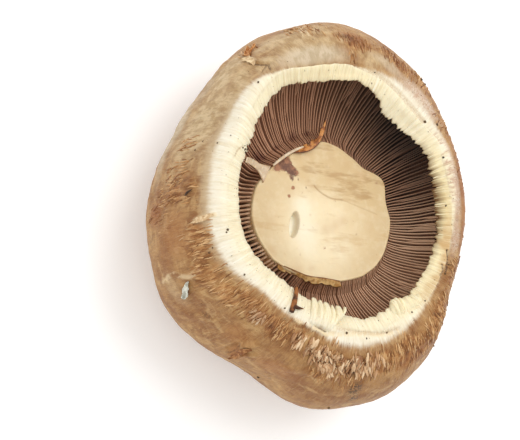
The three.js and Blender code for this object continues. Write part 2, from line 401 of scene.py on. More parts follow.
# %% Helpers for meshes made of rings
def stitched(rings, closed_on_itself=False):
    """Points and faces of a skin of rings. One with poles gets a point in the middle of its end rings."""
    starts = np.cumsum([0] + [len(r) for r in rings])
    points = [p for r in rings for p in r.tolist()]
    faces = []
    pairs = list(zip(range(len(rings) - 1), range(1, len(rings))))
    if closed_on_itself:
        pairs.append((len(rings) - 1, 0))
    for low, high in pairs:
        n, m = len(rings[low]), len(rings[high])
        a, b = starts[low], starts[high]
        if n == m:
            faces += [(a + i, a + (i + 1) % n, b + (i + 1) % n, b + i) for i in range(n)]
        elif n == 2 * m:
            for i in range(m):
                fine = [a + 2 * i, a + 2 * i + 1, a + (2 * i + 2) % n]
                faces.append((*fine, b + (i + 1) % m, b + i))
        else:
            for i in range(n):
                fine = [b + (2 * i + 2) % m, b + 2 * i + 1, b + 2 * i]
                faces.append((a + i, a + (i + 1) % n, *fine))
    if not closed_on_itself:
        for ring, turned in ((0, True), (len(rings) - 1, False)):
            n, a = len(rings[ring]), starts[ring]
            middle = np.mean(rings[ring], axis=0)
            points.append(middle.tolist())
            for i in range(n):
                pair = (a + (i + 1) % n, a + i) if turned else (a + i, a + (i + 1) % n)
                faces.append((*pair, len(points) - 1))
    return np.array(points), faces


def facing_out(points, faces):
    volume = 0.0
    for face in faces[:: max(1, len(faces) // 4000)]:
        a, b, c = (points[face[k]] for k in (0, 1, 2))
        volume += float(np.dot(a - points.mean(0), np.cross(b - a, c - a)))
    return faces if volume > 0 else [tuple(reversed(f)) for f in faces]


def tell_size(name, mesh):
    triangles = sum(p.loop_total - 2 for p in mesh.polygons)
    print(name, "has", len(mesh.vertices), "points and", triangles, "triangles")


def piece(name, points, faces, material, attributes=None):
    """A mesh object from points in millimetres, with a number or a vector for each point as attributes."""
    mesh = bpy.data.meshes.new(name)
    mesh.from_pydata((np.asarray(points) * MM).tolist(), [], faces)
    for key, values in (attributes or {}).items():
        values = np.asarray(values, np.float32)
        kind = "FLOAT_VECTOR" if values.ndim == 2 else "FLOAT"
        layer = mesh.attributes.new(key, kind, "POINT")
        layer.data.foreach_set("vector" if values.ndim == 2 else "value", values.ravel())
    mesh.materials.append(material)
    mesh.shade_smooth()
    obj = bpy.data.objects.new(name, mesh)
    bpy.context.scene.collection.objects.link(obj)
    tell_size(name, mesh)
    return obj


def normals_of(grid):
    """Outward directions on a grid of points (rows, columns, 3) that is closed in its columns."""
    down_rows = np.gradient(grid, axis=0)
    round_columns = np.roll(grid, -1, axis=1) - np.roll(grid, 1, axis=1)
    normal = np.cross(round_columns, down_rows)
    normal /= np.linalg.norm(normal, axis=-1, keepdims=True) + 1e-9
    outwards = np.sign((normal * (grid - grid.mean((0, 1)))).sum(-1).mean())
    return normal * outwards


trial = [polar(1.0, np.arange(count) * TURN / count, z) for count, z in ((8, 0.0), (4, 1.0))]
print("rings of 8 and 4 points are joined and closed by", len(stitched(trial)[1]), "faces")

# %% [markdown]
# Where things are on the cap. Two numbers name a place on its skin: degrees round the stem from +X,
# and millimetres along the skin, outwards from the mouth. Patches are soft ovals in that map and
# strokes are soft lines in it. The white of the margin reaches further at some angles and fades
# softly, except at the far side, where the torn veil ends in a crisp edge.

# %% Map of the cap's skin
GRAIN_RADIUS = 40.0  # the grain runs round a circle this big, whatever the cap's own radius is
MM_PER_DEGREE = GRAIN_RADIUS * TURN / 360
OLD_SIDE = (8, 42)  # degrees and half width of the side where the veil is yellowed and torn most
WHITE_REACH = [  # every 15 degrees
    4.5, 5.6, 6.6, 7.6, 8.2, 5.4, 3.6, 3.6, 4.6, 8.0, 9.4, 9.0, 8.8, 9.0, 8.6, 7.2, 7.2, 7.4, 8.2, 7.0,
    6.6, 4.8, 3.4, 3.6,
]
WHITE_FADE = [
    1.0, 1.4, 1.8, 2.2, 2.4, 1.4, 0.3, 0.3, 0.8, 1.8, 2.2, 2.2, 2.2, 2.0, 1.8, 1.4, 1.4, 1.6, 1.9, 1.9,
    1.8, 1.6, 1.2, 1.2,
]
FIBRES = [  # raised, silky, orange brown: degrees, mm out, half sizes, strength
    (176, 19, 12, 9, 0.55), (183, 26, 11, 8, 0.45), (197, 13, 9, 6.5, 0.9), (209, 14, 9, 6, 0.6),
    (220, 12.5, 10, 5.5, 1.0), (229, 12, 8, 5, 0.9), (241, 11.5, 11, 4.5, 0.95), (250, 10.5, 7, 3.5, 0.7),
    (262, 9.5, 8, 3, 0.55), (270, 17, 14, 5, 0.6), (287, 12.5, 9, 5, 0.95), (300, 12.5, 12, 6, 1.0),
    (311, 13, 10, 6, 0.95), (321, 10, 10, 5, 0.8), (336, 8, 11, 4, 0.6), (350, 12, 14, 4, 0.45),
    (20, 12, 20, 4, 0.25), (40, 12.5, 10, 4, 0.35), (53, 17, 7, 5, 0.55), (66, 14.5, 11, 4.5, 0.8),
    (84, 12, 9, 4, 1.0), (86, 7, 4, 3, 0.3), (100, 17, 9, 6, 0.45), (118, 19, 5, 4, 0.7),
    (160, 20, 6, 5, 0.4),
]
BARK = [
    (250.5, 11.4, 4, 2.6, 0.55), (256, 12.2, 5, 3.2, 0.85), (262, 13.2, 6, 4.2, 1.0),
    (268.5, 14.0, 6.5, 4.6, 1.0), (276, 13.6, 6, 4.2, 0.95), (283, 12.6, 5, 3.4, 0.7),
    (232, 12.4, 5, 3.0, 0.3),
]
GREY = [
    (150, 19, 28, 13, 1.0), (130, 20, 15, 9, 1.0), (106, 15, 24, 7, 0.8), (104, 10.5, 24, 4.5, 0.8),
    (165, 12, 12, 3, 0.6), (210, 27, 8, 5, 0.4), (78, 8, 8, 4, 0.6), (171, 22, 8, 8, 0.35),
    (137, 11.5, 20, 5, 0.9), (122, 9, 9, 4, 0.8),
]
# Silvery grey skin; the far-out entries on the left flank, at 133 and 150 degrees, are a painted sheen along
# the outline.
SILVER_AND_SHEEN = [
    (104, 6.4, 24, 4.2, 1.0), (70, 10, 10, 3.0, 0.7), (150, 31, 30, 3.8, 1.0), (133, 27, 10, 3, 0.6),
]
PINK = [(20, 5.2, 32, 3.0, 1.0), (352, 4.8, 14, 2.4, 0.7), (52, 9.5, 16, 4.2, 0.9)]
# Reddish brown patches; the one at 2 degrees is painted shade on the right flank toward the outline.
RED_AND_SHADE = [
    (252, 23, 12, 5, 0.55), (234, 21, 8, 5, 0.5), (300, 15, 14, 4, 0.6), (184, 29, 6, 5, 0.9),
    (196, 25, 12, 5, 0.3), (85, 12.4, 10, 4.5, 0.85), (66, 15, 10, 4, 0.6), (232, 12, 12, 4, 0.5),
    # The first patch here, at 2 degrees, is painted shade toward the right outline.
    (2, 10.6, 44, 5.0, 1.0), (193, 20, 11, 7, 0.6), (239, 26, 5, 4, 0.9),
]
BLACKENED = [
    (279, 20.5, 3.4, 4.0, 1.0), (280.5, 24.5, 2.2, 2.2, 0.9), (222, 24, 3, 1.5, 0.4),
    (87, 12.8, 5, 1.6, 0.7),
]
BARE = [
    (123.4, 13.8, 2.0, 3.0, 1.0), (205.5, 28, 2.5, 1.6, 0.5), (207.4, 17.4, 1.6, 1.8, 0.6),
    (88.5, 11.0, 3, 1.4, 0.4),
]
RAISED = [  # path, half width in mm, height in mm
    ([(206.0, 30.2), (205.0, 25.8), (205.0, 23.4), (206.5, 21.2), (207.5, 19.2), (207.0, 15.8)], 1.4, 0.35),
    ([(238.5, 29.0), (239.0, 25.5), (238.0, 22.3), (240.0, 19.6)], 1.2, 1.0),
    ([(243.2, 22.6), (241.6, 24.6), (240.6, 28.6)], 0.9, 0.7),
    ([(217.5, 31.9), (221.5, 26.2), (226.0, 24.0)], 2.4, 0.35),
    ([(254.5, 20.9), (261.0, 18.4)], 1.8, 0.3),
    ([(123.0, 27.0), (135.0, 30.0), (146.0, 32.0), (157.5, 31.0), (167.0, 32.0), (176.0, 34.0)], 2.4, 0.4),
    ([(99.4, 21.8), (100.0, 18.3), (103.2, 13.0)], 0.5, 0.25), ([(99.5, 16.0), (101.5, 11.6)], 0.5, 0.2),
    ([(97.0, 19.4), (100.0, 18.2), (103.0, 19.8)], 0.5, 0.25),
    ([(244.5, 7.4), (250.0, 7.2), (256.5, 7.0), (261.0, 7.3)], 0.7, 0.35),
    ([(319.5, 5.6), (324.0, 5.0), (328.0, 5.6), (333.0, 5.2)], 0.9, 0.4),
    ([(189.5, 7.6), (190.5, 13.4)], 1.3, 0.35),
]
SUNKEN = [
    ([(84.5, 4.2), (76.5, 4.4), (70.0, 4.9), (61.5, 5.3), (54.0, 5.0), (46.0, 4.6)], 1.0, 0.45),
    ([(344.0, 2.9), (339.5, 3.7), (335.5, 4.2), (332.5, 4.4)], 0.45, 0.5),
    ([(121.6, 8.2), (125.6, 7.6)], 0.7, 0.45),
    ([(124.4, 12.3), (123.0, 9.3), (121.6, 8.0), (122.6, 6.4), (122.6, 5.2)], 0.9, 0.6),
    ([(117.6, 20.4), (120.4, 16.6), (122.4, 15.0)], 0.6, 0.5), ([(255.0, 5.8), (259.5, 6.1)], 1.1, 0.6),
    ([(257.5, 12.8), (261.5, 14.2), (267.5, 14.2), (274.0, 15.9), (278.0, 13.4)], 0.9, 0.8),
    ([(263.0, 11.7), (268.0, 13.2), (270.0, 11.9)], 0.7, 0.7),
    ([(262, 6.6), (275, 4.8), (285, 4.6), (297, 6.0)], 0.8, 0.3),
    ([(236.2, 27.6), (236.6, 23.0)], 0.8, 0.35),
]
# Lines of real cracks, and lines of painted shade: along the crease by the far flap, beside the raised fold
# near 238 degrees, and along the crease between the veil and the white band at the bottom.
CRACK_AND_SHADE_LINES = [  # path, half width in mm, strength
    ([(344.0, 2.9), (339.5, 3.7), (335.5, 4.2), (332.5, 4.4)], 0.5, 1.0),
    ([(117.6, 20.4), (120.4, 16.6)], 0.7, 0.7),
    ([(124.4, 12.3), (123.0, 9.3), (121.6, 8.0), (122.6, 6.4)], 0.7, 0.75),
    ([(121.6, 8.2), (125.6, 7.6)], 0.5, 0.6),
    # Painted shade in the crease between the far flap and the skin.
    ([(82.5, 4.4), (76.5, 4.5), (70.0, 4.9), (61.5, 5.3), (54.0, 5.0), (46.0, 4.6)], 1.2, 0.42),
    ([(354.0, 3.4), (349.5, 3.9)], 0.4, 0.5), ([(86.8, 7.4), (84.2, 5.4), (87.4, 4.0)], 0.7, 0.4),
    ([(157.0, 2.0), (160.5, 3.0), (163.5, 3.2)], 0.35, 0.5),
    # Painted shadow on both sides of the raised fold.
    ([(237.2, 29.4), (237.8, 25.6), (236.8, 22.4)], 0.35, 0.7),
    ([(240.2, 28.6), (240.4, 25.2), (239.6, 22.0)], 0.35, 0.6),
    # Painted shade in the crease between the veil and the white band at the bottom.
    ([(266.0, 4.6), (273.0, 4.0), (281.0, 3.9), (289.0, 4.5), (297.0, 5.4)], 0.9, 0.4),
    ([(336.5, 2.6), (333.5, 3.4), (331.0, 3.2)], 0.5, 0.8),
    ([(340.5, 4.6), (338.0, 5.2), (336.8, 4.6)], 0.4, 0.7),
]
# Pale scratches of the skin, with a painted highlight on the raised folds near 240 degrees and painted shade
# along the crease at the bottom.
PALE_HIGHLIGHT_AND_SHADE_LINES = [
    ([(206.0, 30.2), (205.0, 25.8), (205.0, 23.4), (206.5, 21.2), (207.5, 19.2), (207.0, 15.8)], 0.9, 0.5),
    ([(99.4, 21.8), (100.0, 18.3), (103.2, 13.0)], 0.4, 0.6), ([(99.5, 16.0), (101.5, 11.6)], 0.3, 0.5),
    ([(97.0, 19.4), (100.0, 18.2), (103.0, 19.8)], 0.4, 0.6),
    ([(244.5, 7.4), (250.0, 7.2), (256.5, 7.0), (261.0, 7.3)], 0.6, 0.9),
    # A painted highlight on the crests of the raised folds near 240 degrees, here and in the first entry of
    # the next line.
    ([(238.5, 29.0), (239.0, 25.5), (238.0, 22.3)], 0.5, 0.2),
    ([(243.2, 22.6), (241.6, 24.6), (240.9, 27.0)], 0.4, 0.15), ([(189.5, 7.6), (190.3, 12.6)], 1.1, 0.7),
    # Painted shade: a tan line along the crease between the veil and the white band at the bottom.
    ([(262.0, 6.6), (270.0, 5.4), (275.5, 4.6), (283.0, 4.4), (291.0, 5.4), (296.0, 6.0)], 1.0, 0.7),
]


def path_distance(x, y, path):
    """Distance of points from a line of straight runs."""
    best = np.full(np.shape(x), 1e9)
    for (x0, y0), (x1, y1) in zip(path, path[1:]):
        run = max((x1 - x0) ** 2 + (y1 - y0) ** 2, 1e-9)
        t = np.clip(((x - x0) * (x1 - x0) + (y - y0) * (y1 - y0)) / run, 0, 1)
        best = np.minimum(best, np.hypot(x - x0 - t * (x1 - x0), y - y0 - t * (y1 - y0)))
    return best


def strokes(angle, out, lines):
    """Strength of soft lines through (degrees, mm out) points: (path, half width in mm, strength)."""
    total = np.zeros(np.broadcast(angle, out).shape)
    for path, half_width, strength in lines:
        first = path[0][0]
        turned = np.mod(np.degrees(angle) - first + 180, 360) - 180
        flat = [((degrees - first) * MM_PER_DEGREE, away) for degrees, away in path]
        far = path_distance(turned * MM_PER_DEGREE, out, flat)
        total = np.maximum(total, strength * smooth(1.3 * (1 - far / half_width)))
    return total


def grain_of(angle, out):
    return polar(GRAIN_RADIUS, angle, out)


def white_share(angle, out):
    reach, fade = around(WHITE_REACH, angle), around(WHITE_FADE, angle)
    return 1 - smooth((out - reach + fade) / (2 * fade))


def yellow_share(angle):
    """Where the white of the margin and the veil turns cream or yellow."""
    total = hump(angle, *OLD_SIDE) + 0.5 * hump(angle, 98, 48) + 0.55 * hump(angle, 325, 40)
    return np.clip(total - 0.5 * hump(angle, 54, 16), 0, 1)


print("the white of the margin reaches", min(WHITE_REACH), "to", max(WHITE_REACH), "mm out")

# %% [markdown]
# The cap. It could be sculpted, or a sphere could be pushed about with textures. Here its section is
# written down as in the measured model and turned round the axis with changing radii, which keeps the
# two alike to a fraction of a millimetre. The relief is then laid on along the skin's own normals:
# broad lumps, silky ridges that run outwards, pits where the skin has cracked, and single folds.

# %% Section of the cap
CAP_COLUMNS = 800
MARGIN_ROWS = 96
CROWN_ROWS = 34
angles = np.arange(CAP_COLUMNS) * TURN / CAP_COLUMNS
LIP = 3.0  # from the mouth's edge to where the cap's own skin starts, under the veil's outer edge


def cap_outside(angle):
    """Rows of points from the lip over the margin and the widest ring to the flat on the crown."""
    wide, mouth = cap_radius(angle), mouth_radius(angle)
    top = mouth + MARGIN_WIDTH
    rows = []
    for out, z in ((LIP, 44.2), (3.3, 44.62), (3.7, 44.83), (4.1, 44.95)):
        rows.append((mouth + out, np.full_like(angle, z)))
    for b in np.linspace(math.pi / 2, 0, MARGIN_ROWS):
        z = EQUATOR + (MARGIN_TOP - EQUATOR) * math.sin(b)
        rows.append((top + (wide - top) * math.cos(b) + cap_lumps(angle, z), np.full_like(angle, z)))
    for a in np.linspace(math.pi / 2, 0, CROWN_ROWS)[1:]:
        z = EQUATOR * (1 - math.cos(a) ** CROWN_POWER)
        r = CROWN_FLAT + (wide - CROWN_FLAT) * math.sin(a) ** CROWN_POWER + cap_lumps(angle, z)
        rows.append((r, np.full_like(angle, z)))
    return np.array([polar(r, angle, z) for r, z in rows])


def cap_inside(angle):
    """Rows from the lip under the margin, down the hollow's wall and in below the gills."""
    mouth, hollow, stem = mouth_radius(angle), hollow_radius(angle), stem_radius(angle)
    lip, wall = mouth + LIP, hollow + 0.3
    rows = [
        (lip, 43.2), (lip + 0.1, 42.0), (lip + 0.5, VEIL_BOTTOM - 0.2),
        (lip + 0.55 * (wall - lip), VEIL_BOTTOM - 1.7), (lip + 0.85 * (wall - lip), VEIL_BOTTOM - 3.2),
        (wall + 0.1, GILL_ROOT + GILL_ROOT_RISE + 2.2),
    ]
    inner = stem + 0.6
    for q in (1.0, 0.8, 0.58, 0.3, 0.0):
        z = GILL_ROOT + GILL_ROOT_RISE * q**GILL_ROOT_POWER - 0.3
        rows.append((inner + q * (hollow - inner) + 0.3 * (q == 1), z))
    rows.append((0.4 * stem, FLESH_AT_STEM))
    return [polar(r, angle, np.full_like(angle, z)) for r, z in rows]


outside = cap_outside(angles)
steps = np.linalg.norm(np.diff(outside, axis=0), axis=-1)
away_from_mouth = LIP + np.concatenate([np.zeros((1, CAP_COLUMNS)), np.cumsum(steps, axis=0)])
print("the skin is", round(float(away_from_mouth.max()), 1), "mm from the mouth to the crown's flat")

# %% [markdown]
# The relief of the skin. It is a thin coat of fibres over the flesh: silky where it is whole, ridged
# where the fibres stand up, and cracked like bark where it has dried. Sculpting it by hand would be
# quick to start and slow to change. Here each kind of relief is one line, the map of the skin says
# where it goes, and the sum of them moves every point along its own normal.

# %% Relief of the cap
def ridges(grain, width, length, seed):
    """Ridges that run outwards: 1 on a ridge, 0 in a furrow."""
    lean = 1.6 * drift(grain, 14.0, seed + 9)
    turned = grain + np.stack([lean, -lean, np.zeros_like(lean)], axis=-1)
    scaled = turned / np.array([width, width, length])
    return np.clip(1 - np.abs(layered(scaled, 1.0, seed, 2)) * 1.9, 0, 1)


grain = grain_of(angles[None, :], away_from_mouth)
around_all = np.broadcast_to(angles[None, :], away_from_mouth.shape)
white = white_share(around_all, away_from_mouth)
patchy = np.clip(0.65 + 0.8 * layered(grain, 3.5, 3), 0.1, 1.15)
fibres = np.clip(bed(around_all, away_from_mouth, FIBRES) * patchy, 0, 1)
bark = bed(around_all, away_from_mouth, BARK)
fine_ridge = ridges(grain, 0.9, 5.0, 11)
coarse_ridge = ridges(grain, 1.8, 7.0, 23)
pits = smooth((layered(grain / np.array([1.0, 1.0, 2.2]), 1.3, 5, 2) + 0.05) / 0.35)
open_skin = smooth((away_from_mouth - 6) / 6) * smooth((outside[..., 2] - 1.0) / 6)

relief = open_skin * (0.35 * layered(outside, 9.0, 31) + 0.14 * layered(outside, 2.4, 37))
relief += (0.05 + 0.34 * fibres) * (fine_ridge - 0.6) * (1 - white) * open_skin
relief += 0.42 * fibres * (coarse_ridge - 0.6)
relief -= 1.05 * bark * pits
relief += white * (0.09 * (ridges(grain, 1.1, 20.0, 41) - 0.6) + 0.12 * layered(grain, 3.0, 43))
relief += strokes(around_all, away_from_mouth, RAISED) - strokes(around_all, away_from_mouth, SUNKEN)
relief[:4] = 0
relief *= smooth(outside[..., 2] / 2.0) * smooth((away_from_mouth - 3.2) / 1.2)
bare_skin = outside
outside = outside + normals_of(outside) * relief[..., None]
print("relief runs from", round(float(relief.min()), 2), "to", round(float(relief.max()), 2), "mm")

# %% [markdown]
# The cap's finish. A portobello's skin is a pale flesh under brown fibres. The fibres are dense on the
# sides, turn orange brown where the skin is rubbed, thin out to grey beige at one side and stop before
# the white margin. So the colour starts as a blend of browns, and each attribute of the map pulls it
# its own way, with stretched noise at every border so that none of them is a clean line. The white of
# the margin goes on over the veil, so both pieces share the nodes that make it.

# %% Finish of the margin and the cap
def margin_shade(tree, grain_vector):
    """Cream near the mouth and whiter outwards, with fine ribs that run outwards."""
    rib = noise(tree, stretched(tree, grain_vector, (1.5, 1.5, 0.13)), 1.0, 5, 0.65)
    broad = noise(tree, stretched(tree, grain_vector, (0.5, 0.5, 0.2)), 1.0, 3, 0.5)
    blot = noise(tree, grain_vector, 0.8, 4, 0.65)
    apart = tree.nodes.new("ShaderNodeSeparateXYZ")
    tree.links.new(grain_vector, apart.inputs[0])
    out = apart.outputs["Z"]
    shade = blended(tree, levels(tree, out, 2.0, 8.0), colour(240, 229, 197), colour(233, 225, 206))
    yellow = maths(tree, "MULTIPLY", read(tree, "yellow"), levels(tree, out, 4.6, 2.0, 0.2, 1.0))
    shade = blended(tree, yellow, shade, colour(238, 220, 168))
    aged = maths(tree, "MULTIPLY", read(tree, "yellow"), levels(tree, rib, 0.5, 0.66, 0, 0.55))
    shade = blended(tree, aged, shade, colour(204, 172, 112))
    shade = coats(tree, shade, [
        (rib, 0.45, 0.7, 0.45, (212, 194, 156)),
        (broad, 0.45, 0.75, 0.4, (216, 198, 162)),
        (blot, 0.6, 0.75, 0.4, (206, 186, 152)),
        (rib, 0.45, 0.3, 0.5, (250, 244, 228)),
    ])
    return shade, rib


def line_shade(tree):
    """The colour of lines on the skin: tan where they are faint, as the painted shade along creases is, and
    dark where the skin has split.
    """
    deep = levels(tree, read(tree, "dark"), 0.35, 0.65)
    return blended(tree, deep, colour(172, 126, 74), colour(84, 58, 38))


def cap_finish():
    material, tree, shader = finish_of("cap_skin", roughness=0.55, sheen=0.0, soft=0.04, reach=0.8)
    grain_vector = read(tree, "grain", vector=True)
    fibre = noise(tree, stretched(tree, grain_vector, (1.9, 1.9, 0.36)), 1.0, 5, 0.65)
    dash = noise(tree, stretched(tree, grain_vector, (1.0, 1.0, 0.3)), 1.0, 4, 0.6, 0.4)
    hair = noise(tree, stretched(tree, grain_vector, (3.4, 3.4, 0.4)), 1.0, 3, 0.7)
    pore = noise(tree, grain_vector, 2.4, 4, 0.7)
    patch = noise(tree, grain_vector, 0.11, 4, 0.6)
    blotch = noise(tree, stretched(tree, grain_vector, (0.2, 0.2, 0.3)), 1.0, 4, 0.6, 0.8)
    mottle = noise(tree, stretched(tree, grain_vector, (0.5, 0.5, 0.34)), 1.0, 5, 0.6)

    shade = blended(tree, levels(tree, patch, 0.35, 0.65), colour(140, 96, 60), colour(174, 136, 97))
    shade = coats(tree, shade, [
        (mottle, 0.42, 0.65, 0.45, (180, 142, 102)),
        (mottle, 0.48, 0.34, 0.45, (126, 84, 52)),
        (blotch, 0.52, 0.64, 0.6, (196, 164, 128)),
        (blotch, 0.47, 0.33, 0.5, (140, 90, 50)),
        (fibre, 0.52, 0.74, 0.35, (202, 168, 126)),
        (dash, 0.5, 0.34, 0.3, (122, 84, 52)),
        (pore, 0.42, 0.3, 0.3, (108, 74, 46)),
        (hair, 0.54, 0.7, 0.3, (204, 170, 126)),
        (hair, 0.46, 0.32, 0.35, (116, 80, 50)),
    ])
    # Reddish brown patches, one of them painted shade toward the right outline.
    shade = stain(tree, shade, "red", 0.6, colour(158, 98, 56))
    shade = blended(tree, 1.0, shade, (1.0, 0.92, 0.67, 1.0), "MULTIPLY")
    grey = blended(tree, levels(tree, mottle, 0.38, 0.62), colour(186, 157, 112), colour(216, 193, 152))
    grey = coats(tree, grey, [
        (hair, 0.48, 0.34, 0.4, (156, 128, 86)),
        (dash, 0.46, 0.32, 0.4, (150, 116, 72)),
    ])
    shade = stain(tree, shade, "grey", 0.8, grey)
    # Silvery grey skin, with a painted sheen along the left outline.
    silver_and_sheen = blended(tree, levels(tree, mottle, 0.4, 0.6), colour(190, 170, 138), colour(210, 192, 164))
    silver_and_sheen = coats(tree, silver_and_sheen, [(hair, 0.48, 0.34, 0.3, (178, 156, 124))])
    shade = stain(tree, shade, "silver_and_sheen", 0.9, silver_and_sheen)

    ridge = maths(tree, "MULTIPLY_ADD", read(tree, "ridge"), 0.7, -0.42)
    ridge = maths(tree, "MULTIPLY_ADD", fibre, 0.9, ridge)
    rust = ramp(tree, ridge, [
        (0.05, (92, 54, 26)), (0.3, (144, 90, 48)), (0.5, (184, 130, 76)), (0.7, (222, 180, 124)),
    ])
    rust = stain(tree, rust, "red", 0.6, colour(118, 66, 34))
    spread = maths(tree, "ADD", read(tree, "fibres"), maths(tree, "MULTIPLY_ADD", dash, 0.8, -0.4))
    shade = blended(tree, levels(tree, spread, 0.15, 0.6, 0, 0.85), shade, rust)

    pink = blended(tree, levels(tree, pore, 0.38, 0.56), colour(178, 144, 118), colour(228, 212, 192))
    pink = coats(tree, pink, [(mottle, 0.4, 0.6, 0.5, (204, 174, 148))])
    shade = stain(tree, shade, "pink", 0.9, pink)

    border = maths(tree, "MULTIPLY_ADD", fibre, 0.7, -0.35)
    border = maths(tree, "ADD", border, maths(tree, "MULTIPLY_ADD", mottle, 0.5, -0.25))
    halo = levels(tree, maths(tree, "ADD", read(tree, "halo"), border), 0.1, 0.9, 0, 0.8)
    shade = blended(tree, halo, shade, colour(198, 174, 138))
    cream, rib = margin_shade(tree, grain_vector)
    whiteness = levels(tree, maths(tree, "ADD", read(tree, "white"), border), 0.12, 0.95)
    shade = blended(tree, whiteness, shade, cream)
    strand = levels(tree, maths(tree, "ADD", dash, border), 0.44, 0.7, 0, 0.9)
    strand = maths(tree, "MULTIPLY", read(tree, "pink"), strand)
    shade = blended(tree, strand, shade, colour(190, 154, 128))

    # Painted shade: near-black brown in the cracks of the bark, which are also cut into the mesh.
    shade = stain(tree, shade, "pit", 0.9, colour(70, 38, 16))
    # Pale spots and scratches, a painted highlight on the raised folds, and painted shade along the crease at
    # the bottom.
    pale_marks_highlight_and_shade = levels(tree, maths(tree, "ADD", mottle, border), 0.3, 0.55)
    pale_marks_highlight_and_shade = maths(tree, "MULTIPLY", read(tree, "pale"), pale_marks_highlight_and_shade)
    shade = blended(tree, pale_marks_highlight_and_shade, shade, colour(230, 208, 168))
    crusted = maths(tree, "MULTIPLY", read(tree, "blackened"), levels(tree, pore, 0.47, 0.54))
    shade = blended(tree, crusted, shade, colour(60, 44, 28))
    # Dark where the skin has real cracks, and tan painted shade along creases and beside the raised fold.
    cracks_and_painted_shade = maths(tree, "MULTIPLY", read(tree, "dark"), levels(tree, pore, 0.42, 0.56, 0.3, 1.0))
    shade = blended(tree, cracks_and_painted_shade, shade, line_shade(tree))
    height = maths(tree, "ADD", maths(tree, "MULTIPLY", fibre, 0.5), maths(tree, "MULTIPLY", pore, 0.16))
    height = maths(tree, "ADD", height, maths(tree, "MULTIPLY", hair, 0.22))
    height = blended(tree, read(tree, "white"), height, maths(tree, "MULTIPLY", rib, 0.5))
    surfaced(tree, shader, shade, height, depth=0.65)
    return material


# %% [markdown]
# The cap's mesh. Its sides and margin carry the detail, so their rings keep all their points, while the
# crown and the hidden inside make do with a half or a quarter. Every point also takes its numbers from
# the map along, which is how the finish knows where each colour belongs.

# %% Mesh of the cap
def every(row, count):
    return row[:: len(row) // count]


def halo_share(angle, out):
    """The greyed band where the fibres thin out, past the white."""
    reach = around(WHITE_REACH, angle)
    return (1 - smooth((out - reach) / 4.5)) * (0.35 + 0.65 * hump(angle, 170, 60) - 0.2 * hump(angle, 5, 60))


def cap_piece():
    half, quarter = CAP_COLUMNS // 2, CAP_COLUMNS // 4
    inside = cap_inside(angles)
    rings, marks = [], []
    zeros = np.zeros(CAP_COLUMNS)
    beds = {"grey": GREY, "silver_and_sheen": SILVER_AND_SHEEN, "pink": PINK, "red": RED_AND_SHADE, "blackened": BLACKENED}
    skin_marks = {key: bed(around_all, away_from_mouth, patches) for key, patches in beds.items()}
    # Pale spots and scratches, with a painted highlight on the raised folds and painted shade along the
    # crease at the bottom.
    pale_spots_highlight_and_shade = bed(around_all, away_from_mouth, BARE)
    pale_spots_highlight_and_shade = np.maximum(pale_spots_highlight_and_shade, strokes(around_all, away_from_mouth, PALE_HIGHLIGHT_AND_SHADE_LINES))
    # pit is painted shade in the bark's cracks; pale and dark also carry a painted highlight and painted
    # shade along folds and creases.
    skin_marks.update({
        "white": white, "fibres": fibres, "bark": bark, "ridge": 0.5 * fine_ridge + 0.5 * coarse_ridge,
        "pit": np.clip(1.3 * bark * pits, 0, 1), "halo": halo_share(around_all, away_from_mouth),
        "pale": pale_spots_highlight_and_shade, "dark": strokes(around_all, away_from_mouth, CRACK_AND_SHADE_LINES),
        "yellow": np.broadcast_to(yellow_share(angles), white.shape),
    })
    for k, ring in enumerate(outside[::-1]):
        row = len(outside) - 1 - k
        count = quarter if k < 3 else half if k < CROWN_ROWS - 3 else CAP_COLUMNS
        rings.append(every(ring, count))
        marks.append({key: every(values[row], count) for key, values in skin_marks.items()})
        marks[-1]["grain"] = every(grain[row], count)
    for k, ring in enumerate(inside):
        count = half if k < 2 else quarter
        rings.append(every(ring, count))
        marks.append({key: every(zeros, count) for key in skin_marks})
        marks[-1]["white"] = np.ones(count)
        marks[-1]["grain"] = every(grain_of(angles, np.full(CAP_COLUMNS, -1.0 - k)), count)
    points, faces = stitched(rings)
    attributes = {}
    for key in marks[0]:
        values = np.concatenate([m[key] for m in marks])
        poles = [marks[0][key][:1], marks[-1][key][:1]]
        attributes[key] = np.concatenate([values, *poles])
    return piece("cap_fine", points, facing_out(points, faces), cap_finish(), attributes)


cap = cap_piece()
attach(cap, "root")
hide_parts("cap")

# %% [markdown]
# The veil. When the mushroom was young, a skin closed its mouth. The margin still carries a band of
# it, cream and finely ribbed, torn along the inside into small teeth. It is a ring with its own
# section, so it is made as the cap is, with many columns, because the teeth are under a millimetre.
# Its outer edge dips into the cap's skin, so that no seam shows except where it really ends in a step.

# %% Veil
VEIL_COLUMNS = 1440
VEIL_REACH = 4.7  # how far it lies out over the cap's own skin
VEIL_NARROWER = [(1.25, 100, 34), (0.9, 53, 24), (0.8, 280, 14), (1.3, 338, 34), (0.8, 6, 24)]  # mm, degrees
FLAP_FOLD = (53, 24)  # degrees and half width of the far flap, which bulges
RUFFLE = (262, 9.5)  # of the pleated curl
veil_angles = np.arange(VEIL_COLUMNS) * TURN / VEIL_COLUMNS


def drift_round(angle, pitch, seed, radius=30.0):
    """Drift along the mouth's edge, with a pitch in millimetres."""
    return drift(polar(radius, angle, 0.0), pitch, seed)


